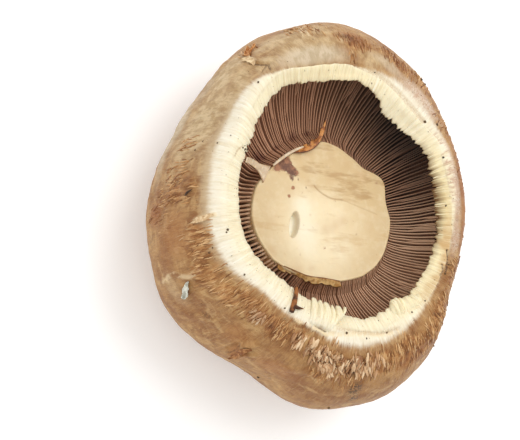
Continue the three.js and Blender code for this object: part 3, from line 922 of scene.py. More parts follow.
def torn_edge(angle):
    """How far the veil reaches inwards past the mouth's outline, in millimetres."""
    teeth = np.abs(drift_round(angle, 0.7, 51)) * 0.9 + np.abs(drift_round(angle, 1.6, 53)) * 0.8
    ragged = 0.65
    for share, middle, half_width in ((0.45, 135, 50), (0.8, 12, 42), (0.6, 58, 28), (0.4, 225, 30)):
        ragged = ragged + share * hump(angle, middle, half_width)
    turned = np.mod(np.degrees(angle), 360)
    flap = 0.9 * smooth((67 - turned) / 2.2) * smooth((turned - 36) / 12) - 0.5 * hump(angle, 79, 13)
    return 0.45 - teeth * ragged + 0.35 * drift_round(angle, 5.0, 57) - 0.5 * hump(angle, *RUFFLE) + flap


def under_veil(out):
    """Height of the veil's smooth arc at a distance out from the mouth; the cap's own skin lies under it."""
    return MARGIN_TOP - 0.05 - 2.0 * (np.maximum(MARGIN_WIDTH - out, 0) / MARGIN_WIDTH) ** 1.6


def veil_rows(angle):
    mouth = mouth_radius(angle)
    reach_in = torn_edge(angle)
    sag = 0.5 * np.sin(3 * angle + 1) + 0.3 * np.sin(7 * angle)
    step = 0.4 * hump(angle, 100, 30) + 0.5 * hump(angle, 53, 22) + 0.12 * hump(angle, 280, 14)
    fold = hump(angle, *FLAP_FOLD)
    reach_out = VEIL_REACH + 0.25 * drift_round(angle, 2.2, 61)
    for less, middle, half_width in VEIL_NARROWER:
        reach_out = reach_out - less * hump(angle, middle, half_width)
    reach_out = reach_out + 0.4 * drift_round(angle, 1.3, 65) * hump(angle, 85, 55)
    reach_out = np.maximum(reach_out, LIP + 0.25)
    ribs = np.abs(drift_round(angle, 0.75, 63)) + 0.6 * np.abs(drift_round(angle, 1.9, 67))
    rows = []
    for t in np.concatenate([[0, 0.012, 0.035, 0.07], np.linspace(0.11, 1, 20)]):
        out = reach_out - (reach_out + reach_in) * t
        skin = under_veil(out) - sag * smooth((MARGIN_WIDTH - out) / (MARGIN_WIDTH + 1.0)) ** 1.5
        cover = step * smooth(t / 0.05) * (1 - smooth((t - 0.15) / 0.6)) + 0.06 * smooth(t / 0.12)
        cover = cover - 0.12 * (1 - smooth(t / 0.06))
        bulge = math.sin(math.pi * min(1, 0.08 + 0.92 * t))
        swell = (0.3 + 0.45 * fold) * drift_round(angle, 3.2, 71) + 0.35 * fold * drift_round(angle, 1.4, 73)
        swell = bulge * swell - (0.15 + 0.15 * fold) * ribs * bulge + 0.25 * fold * bulge
        cracks = 0.7 * strokes(angle, out, SUNKEN)
        rows.append((mouth + out, skin + cover + swell - cracks, out))
    edge, top = rows[-1][0], rows[-1][1]
    rows.append((edge - 0.07, top - 0.3, -reach_in))
    rows.append((edge + 0.15, top - 0.7, -reach_in))
    outer = mouth + VEIL_WIDTH
    for t in (0.3, 0.65, 1.0):
        z = top - 0.7 + (VEIL_BOTTOM - 0.3 - top + 0.7) * smooth(t)
        rows.append((edge + 0.15 + (outer - 0.5 - edge) * t, z, -reach_in + 3 * t))
    rows.append((outer, 43.2, np.full_like(angle, VEIL_WIDTH)))
    return rows


def veil_finish():
    material, tree, shader = finish_of("veil_cream", roughness=0.68, sheen=0.06, soft=0.12, reach=1.0)
    grain_vector = read(tree, "grain", vector=True)
    shade, rib = margin_shade(tree, grain_vector)
    torn_share = maths(tree, "MULTIPLY", read(tree, "torn"), levels(tree, rib, 0.32, 0.5))
    shade = blended(tree, torn_share, shade, colour(112, 78, 40))
    tan = maths(tree, "MULTIPLY", read(tree, "tanned"), levels(tree, rib, 0.3, 0.6, 0.55, 1.0))
    shade = blended(tree, tan, shade, colour(200, 160, 106))
    shade = stain(tree, shade, "shaded", 0.6, colour(204, 190, 156))
    # Dark where the veil has real cracks, and tan painted shade along its creases.
    veil_cracks_and_painted_shade = maths(tree, "MULTIPLY", read(tree, "dark"), levels(tree, rib, 0.4, 0.56, 0.4, 1.0))
    shade = blended(tree, veil_cracks_and_painted_shade, shade, line_shade(tree))
    surfaced(tree, shader, shade, maths(tree, "MULTIPLY", rib, 0.5), depth=0.75)
    return material


veil_material = veil_finish()


def veil_piece():
    rows = veil_rows(veil_angles)
    points, faces = stitched([polar(r, veil_angles, z) for r, z, _ in rows], closed_on_itself=True)
    out = np.concatenate([np.broadcast_to(o, veil_angles.shape) for _, _, o in rows])
    turned = np.tile(veil_angles, len(rows))
    old = hump(turned, *OLD_SIDE)
    past_edge = out + np.tile(torn_edge(veil_angles), len(rows))
    torn = np.clip(1 - past_edge / (1.1 + 1.2 * old), 0, 1) * (0.2 + 0.95 * old)
    lumps = drift_round(turned, 2.4, 77) + drift(grain_of(turned, out), 1.5, 78)
    tanned = np.clip(0.9 * hump(turned, 340, 40) * smooth((out - 0.4 + 0.9 * lumps) / 1.8), 0, 1)
    shaded = 0.35 * hump(turned, *FLAP_FOLD) * smooth((2.6 - out) / 0.8)
    shaded = np.maximum(shaded, 0.7 * hump(turned, 281, 26) * smooth((out - 2.4 + 0.4 * lumps) / 1.2))
    attributes = {
        "grain": grain_of(turned, out), "yellow": yellow_share(turned), "torn": torn, "shaded": shaded,
        "tanned": tanned, "dark": strokes(turned, out, CRACK_AND_SHADE_LINES),
    }
    return piece("veil_fine", points, facing_out(points, faces), veil_material, attributes)


veil = veil_piece()
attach(veil, "root")
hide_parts("veil_fringe")

# %% [markdown]
# Small loose or curled things are thin sheets and tubes. A sheet is a grid of points with a thickness.
# A tube follows a path with a radius at each point. Places on the cap are given as on its map, in
# degrees and millimetres out from the mouth, and a lift above the skin.

# %% Helpers for sheets, tubes and places on the skin
def sheet(name, grid, thick, material, attributes=None):
    """A closed thin body round a grid of points (rows, columns, 3)."""
    rows, columns = grid.shape[:2]
    normal = np.cross(np.gradient(grid, axis=1), np.gradient(grid, axis=0))
    normal /= np.linalg.norm(normal, axis=-1, keepdims=True) + 1e-9
    half = 0.5 * np.broadcast_to(thick, (rows, columns))[..., None]
    points = np.concatenate([(grid + normal * half).reshape(-1, 3), (grid - normal * half).reshape(-1, 3)])

    def at(i, j, side):
        return side * rows * columns + i * columns + j

    faces = []
    for i, j in itertools.product(range(rows - 1), range(columns - 1)):
        faces.append((at(i, j, 0), at(i, j + 1, 0), at(i + 1, j + 1, 0), at(i + 1, j, 0)))
        faces.append((at(i, j, 1), at(i + 1, j, 1), at(i + 1, j + 1, 1), at(i, j + 1, 1)))
    rim = [(0, j) for j in range(columns - 1)] + [(i, columns - 1) for i in range(rows - 1)]
    rim += [(rows - 1, j) for j in range(columns - 1, 0, -1)] + [(i, 0) for i in range(rows - 1, 0, -1)]
    for a, b in zip(rim, rim[1:] + rim[:1]):
        faces.append((at(*a, 0), at(*a, 1), at(*b, 1), at(*b, 0)))
    doubled = {}
    for key, values in (attributes or {}).items():
        flat = values.reshape(rows * columns, -1)
        doubled[key] = np.concatenate([flat, flat]) if flat.shape[1] > 1 else np.tile(flat[:, 0], 2)
    return piece(name, points, faces, material, doubled)


def eased_path(points, count):
    """Points spread evenly along a smooth curve through the given ones."""
    points = np.asarray(points, float)
    first, last = 2 * points[0] - points[1], 2 * points[-1] - points[-2]
    p = np.vstack([first, points, last])
    result = []
    for s in np.linspace(0, len(points) - 1, count):
        i = min(int(s), len(points) - 2)
        f = s - i
        a, b, c, d = p[i : i + 4]
        result.append(b + 0.5 * f * (c - a + f * (2 * a - 5 * b + 4 * c - d + f * (3 * b - a - 3 * c + d))))
    return np.array(result)


def tube(name, path, radii, material, flat=1.0, count=40, sides=14, rough=0.0, seed=1):
    """A closed tube along a path, with radii spread along it and its height flattened."""
    middle = eased_path(path, count)
    run = np.gradient(middle, axis=0)
    run /= np.linalg.norm(run, axis=1, keepdims=True)
    aside = np.cross(run, [0.0, 0.0, 1.0])
    aside /= np.linalg.norm(aside, axis=1, keepdims=True)
    above = np.cross(aside, run)
    radius = np.interp(np.linspace(0, 1, count), np.linspace(0, 1, len(radii)), radii)
    rings = []
    for turn in range(count):
        round_it = np.arange(sides) * TURN / sides
        ring = middle[turn] + radius[turn] * np.cos(round_it)[:, None] * aside[turn]
        ring = ring + flat * radius[turn] * np.sin(round_it)[:, None] * above[turn]
        rings.append(ring + rough * radius[turn] * drift(ring, 1.3, seed)[:, None] * (ring - middle[turn]))
    points, faces = stitched(rings)
    return piece(name, points, facing_out(points, faces), material)


VEIL_ON_TOP = 3.6  # up to this many millimetres out, the veil is the surface that shows
VEIL_TOP_ROWS = 24  # rows of the veil's section that lie on its upper side
top_rows = veil_rows(veil_angles)[:VEIL_TOP_ROWS]
veil_grid = np.array([polar(r, veil_angles, z) for r, z, _ in top_rows])
veil_out = np.array([np.broadcast_to(out, veil_angles.shape) for _, _, out in top_rows])
skin_normals = normals_of(bare_skin)


def on_skin(degrees, out, lift=0.0):
    """A point on the cap or the veil."""
    on_veil = out < VEIL_ON_TOP
    grid, away = (veil_grid, veil_out) if on_veil else (outside, away_from_mouth)
    column = int(round(degrees / 360 * grid.shape[1])) % grid.shape[1]
    row = int(np.abs(away[:, column] - out).argmin())
    above = np.array([0.0, 0.0, 1.0]) if on_veil else skin_normals[row, column]
    return grid[row, column] + lift * above


print("the far side of the margin stands at", on_skin(90, 4.4).round(1), "mm")

# %% [markdown]
# The veil's two curls. At one place the band is pleated like a small fan, six fingers wide, with a
# hollow under its root. A little further round, a lobe of it has rolled over the edge. Both are sheets
# whose grid is bent by sines: pleats across the fan, and a quarter roll across the lobe.

# %% Curls of the veil
FAN_NOTCHES = (-0.68, -0.36, 0.09, 0.34, 0.77)  # between the fingers, across the fan from -1 to 1


def fan_grid():
    u = np.linspace(-1, 1, 121)[None, :]
    v = np.linspace(0, 1, 40)[:, None]
    apart = np.min([np.abs(u - notch) for notch in FAN_NOTCHES], axis=0)
    fingers = np.clip(apart / 0.13, 0, 1) ** 0.6 + 0 * v
    base = 6.1 - 4.0 * smooth((u - 0.2) / 0.8)
    tip = -1.5 - 0.5 * u + (1.6 + 0.8 * smooth(u + 0.5)) * (1 - fingers)
    out = base + (tip - base) * v
    angle = np.radians(258.6 + 8.2 * u + v * (3.2 + 2.6 * u))
    rise = 0.9 * np.sin(math.pi * np.clip(0.95 * v, 0, 1)) ** 0.8 + (0.35 + 0.8 * smooth(u)) * smooth(v / 0.8)
    rise = 0.15 + rise * smooth((u + 1.05) / 0.55)
    groove = 0.8 * (1 - fingers) * smooth(v / 0.5)
    z = under_veil(out) + rise - groove - 0.5 * (1 - smooth(v / 0.1))
    z = z - 0.6 * smooth((np.abs(u) - 0.9) / 0.1) * (1 - v)
    z = z + 0.12 * drift(polar(20.0, angle * 2, out), 1.1, 5)
    return polar(mouth_radius(angle) + out, angle, z), angle, out


def lobe_grid():
    u = np.linspace(0, 1, 80)[None, :]
    v = np.linspace(0, 1, 44)[:, None]
    width = 2.1 * np.sqrt(np.clip(1 - (1 - 3.0 * u) ** 2, 0.05, 1)) * (u < 0.333) + 2.1 * (u >= 0.333)
    width = width * (1 - 0.6 * smooth((u - 0.45) / 0.55)) * (1 + 0.2 * np.sin(9 * u))
    roll = math.pi * (1.25 * v - 0.12)
    lumpy = drift(polar(8.0, u * 2.2 + 0 * v, v * 3), 1.0, 9)
    out = 0.5 + 1.9 * u - width * np.cos(roll) * (1 + 0.3 * lumpy)
    angle = np.radians(299.3 + 17.0 * u - 1.6 * v)
    z = 43.35 + 0.7 * u + 0.6 * width * np.sin(roll) * (1 + 0.35 * lumpy)
    return polar(mouth_radius(angle) + out, angle, z), angle, out


for name, make, thick in (("veil_fan", fan_grid, 0.5), ("veil_lobe", lobe_grid, 0.45)):
    grid, angle, out = make()
    rim = np.linspace(0, 1, out.shape[0])[:, None] + 0 * out
    # root is painted shade in the hollow under the fan's root: it browns and darkens the fan's edge there
    # through torn and dark.
    root = 0.6 * smooth(1 - rim / 0.14) * hump(angle, 257, 4)
    numbers = {
        "grain": grain_of(angle, out), "yellow": 0.6 * yellow_share(angle) + 0.15, "shaded": 0 * out,
        "torn": np.maximum(0.5 * smooth((rim - 0.93) / 0.07), 0.9 * root), "tanned": 0 * out,
        "dark": 0.3 * root,
    }
    curl = sheet(name, grid, thick, veil_material, numbers)
    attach(curl, "root")

# %% [markdown]
# The gills. Nearly 300 thin blades hang from the flesh, or here stand on it: long ones from the stem
# to the margin, and shorter ones that fill the widening space between them. One blade made by hand and
# copied would look like a machine part. Geometry Nodes grow them instead: every root point carries
# its angle and its reach, the tree puts a plain block on each, and then bends all blocks at once into
# leaning, waving blades. The tree's inputs set the sizes, and its seed the draw.

# %% Helpers for geometry trees
SOCKETS = {int: "NodeSocketInt", float: "NodeSocketFloat", type(None): "NodeSocketMaterial"}


def geometry_tree(name, inputs):
    """An empty geometry tree with named inputs, each with its value, and None for a material."""
    tree = bpy.data.node_groups.new(name, "GeometryNodeTree")
    tree.interface.new_socket("Geometry", in_out="INPUT", socket_type="NodeSocketGeometry")
    tree.interface.new_socket("Geometry", in_out="OUTPUT", socket_type="NodeSocketGeometry")
    for key, value in inputs.items():
        socket = tree.interface.new_socket(key, in_out="INPUT", socket_type=SOCKETS[type(value)])
        if value is not None:
            socket.default_value = value
    return tree, tree.nodes.new("NodeGroupInput"), tree.nodes.new("NodeGroupOutput")


def grow(tree, kind, values=None, **settings):
    """Adds a node. values gives its sockets by name or number a value or a link."""
    node = tree.nodes.new(kind)
    for key, value in settings.items():
        setattr(node, key, value)
    for key, value in (values or {}).items():
        feed(tree, node.inputs[key], value)
    return node


def calc(tree, operation, *values):
    return grow(tree, "ShaderNodeMath", dict(enumerate(values)), operation=operation).outputs[0]


def scaled(tree, vector, factor):
    return grow(tree, "ShaderNodeVectorMath", {0: vector, "Scale": factor}, operation="SCALE").outputs[0]


def added(tree, first, second):
    return grow(tree, "ShaderNodeVectorMath", {0: first, 1: second}, operation="ADD").outputs[0]


def named(tree, attribute):
    node = grow(tree, "GeometryNodeInputNamedAttribute", {"Name": attribute}, data_type="FLOAT")
    return node.outputs["Attribute"]


def stored(tree, geometry, attribute, value, domain="POINT"):
    values = {"Geometry": geometry, "Name": attribute, "Value": value}
    node = grow(tree, "GeometryNodeStoreNamedAttribute", values, data_type="FLOAT", domain=domain)
    return node.outputs["Geometry"]


def drawn(tree, low, high, seed):
    values = {"Min": low, "Max": high, "Seed": seed}
    node = grow(tree, "FunctionNodeRandomValue", values, data_type="FLOAT")
    return [s for s in node.outputs if s.enabled][0]


def drawn_vector(tree, low, high, seed):
    values = {"Min": low, "Max": high, "Seed": seed}
    return grow(tree, "FunctionNodeRandomValue", values, data_type="FLOAT_VECTOR").outputs[0]


def position_parts(tree):
    place = grow(tree, "GeometryNodeInputPosition").outputs[0]
    return grow(tree, "ShaderNodeSeparateXYZ", {0: place}).outputs


def vector_of(tree, x, y, z):
    return grow(tree, "ShaderNodeCombineXYZ", {"X": x, "Y": y, "Z": z}).outputs[0]


def copied(tree, points, shape, **more):
    """Puts a copy of a shape on every point and makes the copies real."""
    copies = grow(tree, "GeometryNodeInstanceOnPoints", {"Points": points, "Instance": shape, **more})
    real = grow(tree, "GeometryNodeRealizeInstances", {"Geometry": copies.outputs["Instances"]})
    return real.outputs["Geometry"]


def moved(tree, shape, **how):
    """Moves the points of a geometry to a Position, or by an Offset."""
    return grow(tree, "GeometryNodeSetPosition", {"Geometry": shape, **how}).outputs["Geometry"]


def finished(tree, shape, finish, result, smooth_faces=None):
    """Ends a tree: the geometry gets its shading and its material and goes out."""
    if smooth_faces is not None:
        values = {"Geometry": shape, "Shade Smooth": smooth_faces}
        shape = grow(tree, "GeometryNodeSetShadeSmooth", values).outputs["Geometry"]
    dressed = grow(tree, "GeometryNodeSetMaterial", {"Geometry": shape, "Material": finish})
    tree.links.new(dressed.outputs["Geometry"], result.inputs["Geometry"])
    print("tree", tree.name, "has", len(tree.nodes), "nodes")


def grown_piece(name, base, tree, settings):
    """Runs a geometry tree on a base mesh and keeps the result as a plain mesh object."""
    holder = bpy.data.objects.new(name + "_base", base)
    bpy.context.scene.collection.objects.link(holder)
    modifier = holder.modifiers.new("grow", "NODES")
    modifier.node_group = tree
    for item in tree.interface.items_tree:
        if item.in_out == "INPUT" and item.name in settings:
            modifier[item.identifier] = settings[item.name]
    evaluated = holder.evaluated_get(bpy.context.evaluated_depsgraph_get())
    mesh = bpy.data.meshes.new_from_object(evaluated)
    mesh.name = name
    holder.modifiers.remove(modifier)
    bpy.data.objects.remove(holder)
    obj = bpy.data.objects.new(name, mesh)
    bpy.context.scene.collection.objects.link(obj)
    tell_size(name, mesh)
    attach(obj, "root")
    return obj


# %% [markdown]
# The gills' finish. They are a pinkish brown. Their crests at the left, where the light reaches in,
# get a painted highlight, and the blades under the right margin get painted shade, nearly black.
# Each point of a blade knows how high up the blade it lies and how far out from the stem, and the
# colours are laid along those two numbers. The few dark red blots are balls of soft colour at fixed
# places, so that they run over several gills at once.

# %% Finish of the gills
GILL_BLOTS = [  # x, y, radius
    (-5.8, 20.2, 1.9), (-16.2, 14.2, 1.8), (-10.6, 16.6, 1.2), (-1.6, 21.4, 1.1), (-14.6, 13.6, 1.4),
]


def gill_finish():
    material, tree, shader = finish_of("gill_brown", roughness=0.75, sheen=0.05, soft=0.06, reach=0.5)
    place = tree.nodes.new("ShaderNodeTexCoord").outputs["Object"]
    streak = noise(tree, place, 420.0, 3, 0.6)
    cloud = noise(tree, place, 70.0, 4, 0.6)
    side = ramp(tree, read(tree, "gill_height"), [
        (0.0, (136, 92, 66)), (0.55, (158, 112, 84)), (0.88, (168, 122, 92)), (1.0, (180, 134, 104)),
    ])
    toned = blended(tree, levels(tree, read(tree, "tone"), 0, 1, 0, 0.35), side, colour(150, 108, 82))
    toned = coats(tree, toned, [
        (cloud, 0.56, 0.7, 0.4, (128, 78, 56)),
        (streak, 0.55, 0.8, 0.3, (118, 78, 58)),
    ])
    for x, y, radius in GILL_BLOTS:
        node = tree.nodes.new("ShaderNodeVectorMath")
        node.operation = "DISTANCE"
        tree.links.new(place, node.inputs[0])
        node.inputs[1].default_value = (x * MM, y * MM, (STEM_CUT - 3.5) * MM)
        share = maths(tree, "MULTIPLY_ADD", streak, -3.0 * MM, node.outputs["Value"])
        blot = levels(tree, share, -1.2 * MM, (radius - 0.9) * MM, 0.6, 0.0)
        toned = blended(tree, blot, toned, colour(98, 48, 36))
    # Painted shade, nearly black, on the blades under the right margin, and a painted highlight on the crests
    # at the left and at two places on the right.
    painted_gill_shade = maths(tree, "MULTIPLY", read(tree, "painted_gill_shade"), levels(tree, read(tree, "gill_reach"), 0.05, 0.8))
    toned = blended(tree, painted_gill_shade, toned, colour(46, 33, 26))
    near = maths(tree, "MULTIPLY", read(tree, "painted_gill_light"), levels(tree, read(tree, "gill_height"), 0.62, 0.92))
    toned = blended(tree, near, toned, colour(226, 192, 160))
    surfaced(tree, shader, toned, streak, depth=0.1)
    return material


# %% [markdown]
# The tree of the gills. It puts one block on every root point and makes the blocks real. Then it works
# out a radius, an angle and a height for each of their points: the place along the block gives the
# radius, the place up it the height, and noise and a drawn lean move it aside. Turned and scaled
# copies would be simpler, but they could not follow an outline that is different at every angle.

# %% Tree that grows the gills
def gill_tree():
    tree, given, result = geometry_tree("grow_gills", {
        "Steps along": 20, "Root thickness": 0.64 * MM, "Crest thickness": 0.27 * MM,
        "Height at stem": GILL_TALL * MM, "Height at margin": (GILL_TALL - GILL_LOWER) * MM,
        "Root height": GILL_ROOT * MM, "Root rise": GILL_ROOT_RISE * MM, "Root power": GILL_ROOT_POWER,
        "Floor": GILL_FLOOR * MM, "Wave": 0.3 * MM, "Lean": 0.1 * MM, "Collar": 2.6 * MM,
        "Seed": 7, "Finish": None,
    })
    g = given.outputs
    steps = {"Vertices X": g["Steps along"], "Vertices Y": 2, "Vertices Z": 4}
    block = grow(tree, "GeometryNodeMeshCube", steps).outputs["Mesh"]
    points = stored(tree, g["Geometry"], "tone", drawn(tree, 0.0, 1.0, g["Seed"]))
    points = stored(tree, points, "lean", drawn(tree, -1.0, 1.0, calc(tree, "ADD", g["Seed"], 1)))
    points = stored(tree, points, "tall", drawn(tree, 0.93, 1.02, calc(tree, "ADD", g["Seed"], 2)))
    shape = copied(tree, points, block)

    place = position_parts(tree)
    along = calc(tree, "ADD", place["X"], 0.5)
    height = calc(tree, "ADD", place["Z"], 0.5)
    start = named(tree, "start")
    q = calc(tree, "ADD", start, calc(tree, "MULTIPLY", along, calc(tree, "SUBTRACT", 1.0, start)))
    inner, outer = named(tree, "inner"), named(tree, "outer")
    radius = calc(tree, "ADD", inner, calc(tree, "MULTIPLY", q, calc(tree, "SUBTRACT", outer, inner)))
    root = calc(tree, "MULTIPLY", g["Root rise"], calc(tree, "POWER", q, g["Root power"]))
    root = calc(tree, "ADD", calc(tree, "ADD", g["Root height"], g["Floor"]), root)
    tallness = calc(tree, "MULTIPLY", q, calc(tree, "SUBTRACT", g["Height at margin"], g["Height at stem"]))
    tallness = calc(tree, "MULTIPLY", calc(tree, "ADD", g["Height at stem"], tallness), named(tree, "tall"))

    def eased(value, low, high):
        ends = {"Value": value, "From Min": low, "From Max": high}
        return grow(tree, "ShaderNodeMapRange", ends, interpolation_type="SMOOTHSTEP").outputs["Result"]

    rise = eased(along, calc(tree, "MULTIPLY", named(tree, "ease"), -0.6), named(tree, "ease"))
    whole = calc(tree, "SUBTRACT", 1.0, calc(tree, "MULTIPLY", start, 10.0))
    rise = calc(tree, "MAXIMUM", rise, whole)
    fall = eased(calc(tree, "SUBTRACT", 1.0, q), 0.0, 0.16)
    tallness = calc(tree, "MULTIPLY", tallness, calc(tree, "MULTIPLY", rise, fall))
    collar = calc(tree, "MULTIPLY", g["Collar"], calc(tree, "SUBTRACT", 1.0, eased(q, 0.0, 0.17)))
    tallness = calc(tree, "ADD", tallness, collar)
    z = calc(tree, "ADD", root, calc(tree, "MULTIPLY", tallness, height))
    z = calc(tree, "SUBTRACT", z, 0.4 * MM)

    reads = ((q, 2.2), (named(tree, "tone"), 0.35), (named(tree, "turn"), 8.0))
    wander = vector_of(tree, *(calc(tree, "MULTIPLY", value, factor) for value, factor in reads))
    wave = grow(tree, "ShaderNodeTexNoise", {"Vector": wander, "Scale": 1.0, "Detail": 1.0}).outputs[0]
    wave = calc(tree, "MULTIPLY", calc(tree, "SUBTRACT", wave, 0.5), calc(tree, "MULTIPLY", g["Wave"], 2.0))
    lean = calc(tree, "MULTIPLY", calc(tree, "MULTIPLY", named(tree, "lean"), height), g["Lean"])
    thinner = calc(tree, "SUBTRACT", g["Crest thickness"], g["Root thickness"])
    thick = calc(tree, "ADD", g["Root thickness"], calc(tree, "MULTIPLY", height, thinner))
    thick = calc(tree, "MULTIPLY", thick, named(tree, "bold"))
    wave = calc(tree, "MULTIPLY", wave, named(tree, "bold"))
    aside = calc(tree, "ADD", calc(tree, "MULTIPLY", place["Y"], thick), calc(tree, "ADD", wave, lean))
    angle = calc(tree, "ADD", named(tree, "turn"), calc(tree, "DIVIDE", aside, radius))
    x = calc(tree, "MULTIPLY", radius, calc(tree, "COSINE", angle))
    y = calc(tree, "MULTIPLY", radius, calc(tree, "SINE", angle))

    shape = stored(tree, shape, "gill_height", height)
    shape = stored(tree, shape, "gill_reach", q)
    shape = moved(tree, shape, Position=vector_of(tree, x, y, z))
    finished(tree, shape, g["Finish"], result, smooth_faces=False)
    return tree


# %% [markdown]
# The roots of the gills. Each is one loose point that carries its numbers. At the left, where the real
# gills have curled and clumped, every other place stays empty and the blades are bolder. The draws
# start from a fixed seed, so the same mushroom grows each time.

# %% Grow the gills
LONG_GILLS = 226  # places round the stem for those that reach it
SHORT_SHARE = 0.45  # of the spaces between them hold a shorter one
COARSE = (151, 248)  # degrees between which they stand twice as far apart and are bolder


def point_mesh(name, places, numbers):
    """A mesh of loose points with a number at each, for a geometry tree to read."""
    mesh = bpy.data.meshes.new(name)
    mesh.from_pydata([tuple(p) for p in places], [], [])
    for key, values in numbers.items():
        layer = mesh.attributes.new(key, "FLOAT", "POINT")
        layer.data.foreach_set("value", np.asarray(values, np.float32))
    return mesh


def gill_roots():
    """One point for each gill, with the numbers that the tree reads."""
    draw = np.random.default_rng(7)
    turn, start, ease = [], [], []
    for k in range(LONG_GILLS):
        if k % 2 and COARSE[0] < k * 360 / LONG_GILLS < COARSE[1]:
            continue
        turn.append((k + 0.16 * (draw.random() - 0.5)) * TURN / LONG_GILLS)
        start.append(0.0)
        ease.append(0.03)
        if draw.random() < SHORT_SHARE:
            turn.append((k + 0.5 + 0.1 * (draw.random() - 0.5)) * TURN / LONG_GILLS)
            start.append(0.3 + 0.5 * draw.random())
            ease.append(0.25)
    turn = np.array(turn)
    # The crests get a painted highlight at the left and at two places on the right, and the blades under the
    # right margin get painted shade.
    painted_gill_light = np.clip(1.2 * hump(turn, 200, 58), 0, 0.9) + 0.4 * hump(turn, 325, 66)
    painted_gill_light = painted_gill_light + 0.35 * hump(turn, 357, 24)
    return point_mesh("gill_roots", [(0, 0, 0)] * len(turn), {
        "turn": turn, "start": start, "ease": ease,
        "inner": (stem_radius(turn) - 0.1) * MM, "outer": (hollow_radius(turn) + 0.2) * MM,
        "painted_gill_shade": np.clip(0.95 * hump(turn, 43, 60) + 0.04 * hump(turn, 352, 46), 0, 0.93),
        "painted_gill_light": painted_gill_light, "bold": 1 + 0.6 * smooth(1.6 * hump(turn, 200, 60)),
    })


grown_piece("gill_blades", gill_roots(), gill_tree(), {"Seed": 7, "Finish": gill_finish()})

# %% [markdown]
# Under the blades lies the thin brown layer that they grow from. It is a plain ring that follows the
# hollow, and it closes the view to the pale flesh between two blades.

# %% Layer under the gills
FLOOR_COLUMNS = 360
bed_angles = np.arange(FLOOR_COLUMNS) * TURN / FLOOR_COLUMNS


def gill_floor_piece():
    inner = stem_radius(bed_angles) - 0.2
    outer = hollow_radius(bed_angles) + 0.25
    rows = []
    for q in np.linspace(0, 1, 18):
        height = GILL_ROOT + GILL_FLOOR + GILL_ROOT_RISE * q**GILL_ROOT_POWER
        filled = (GILL_TALL - GILL_LOWER * q) * (1 - smooth((q - 0.8) / 0.16))
        lift = filled * (0.52 - 0.4 * hump(bed_angles, 42, 64) - 0.4 * hump(bed_angles, 200, 58))
        rows.append(polar(inner + q * (outer - inner), bed_angles, height + lift))
    for q in (1.0, 0.8, 0.58, 0.3, 0.0):
        height = GILL_ROOT + GILL_ROOT_RISE * q**GILL_ROOT_POWER
        rows.append(polar(inner + q * (outer - inner), bed_angles, np.full(FLOOR_COLUMNS, height)))
    points, faces = stitched(rows, closed_on_itself=True)
    material, tree, shader = finish_of("gill_root_brown", roughness=0.85)
    place = tree.nodes.new("ShaderNodeTexCoord").outputs["Object"]
    mottle = noise(tree, place, 500.0, 3)
    surfaced(tree, shader, blended(tree, mottle, colour(96, 62, 46), colour(128, 90, 68)), mottle, depth=0.1)
    return piece("gill_floor", points, facing_out(points, faces), material)


gill_floor = gill_floor_piece()
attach(gill_floor, "root")
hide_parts("gills")

# %% [markdown]
# The stem was cut flat with a knife. Its face is smooth cream flesh with a faint network of fibres,
# a pit where the core pulled out, a fine curved line where the knife stopped, and brown smudges. The
# pit and the line are pressed into a fine disc, since both are shallow enough to need no cutting.

# %% Stem
STEM_COLUMNS = 360
stem_angles = np.arange(STEM_COLUMNS) * TURN / STEM_COLUMNS
PIT = {"x": -7.7, "y": -3.7, "half_width": 1.4, "half_length": 3.8, "depth": 2.5, "turn": -0.16}
KNIFE_STOP = [(-1.6, 7.2), (-0.5, 6.0), (1.6, 4.8), (3.8, 4.2), (6.5, 4.2)]
KNIFE_TRAIL = [(6.5, 4.2), (9.5, 3.4), (12.5, 2.6), (17.1, 1.5)]
SMUDGES = [  # x, y, radius, strength
    (-11.2, 12.0, 1.9, 1.0), (-9.6, 12.6, 2.4, 1.0), (-8.6, 11.0, 2.2, 1.0), (-7.2, 10.0, 1.7, 0.9),
    (-8.0, 8.3, 1.1, 0.8), (-7.7, 6.0, 0.8, 0.8), (-4.0, 6.4, 0.7, 0.75), (-9.0, 3.7, 0.8, 0.7),
    (-12.6, 10.6, 1.3, 0.7), (-6.2, 8.4, 0.8, 0.6), (1.5, -4.2, 2.4, 0.4), (4.2, -3.0, 2.6, 0.5),
    (6.6, -1.5, 2.0, 0.4), (-2.3, -14.4, 1.2, 0.4), (-3.0, -0.7, 0.5, 0.5), (-3.2, 16.0, 2.4, 0.45),
    (-6.0, 14.6, 1.8, 0.4), (3.7, 15.4, 2.2, 0.35), (8.4, 14.0, 2.4, 0.4), (12.4, 11.6, 2.4, 0.4),
    (6.0, 11.6, 2.6, 0.25), (-13.6, 3.0, 2.0, 0.2), (14.6, -2.0, 2.6, 0.2), (-8.8, 5.6, 2.2, 0.3),
    (-14.0, -11.0, 2.2, 0.5), (-6.4, -15.2, 2.4, 0.45), (-3.0, 7.6, 1.6, 0.25), (2.9, 9.1, 2.0, 0.25),
    (-14.2, -2.4, 2.4, 0.2),
]
CHALKY = [
    (-5.0, -5.2, 6.5, 0.55), (-5.0, 2.0, 5.0, 0.5), (-3.0, -10.5, 5.0, 0.35), (-1.0, 10.6, 3.6, 0.35),
    (5.5, -9.5, 6.0, 0.3),
]


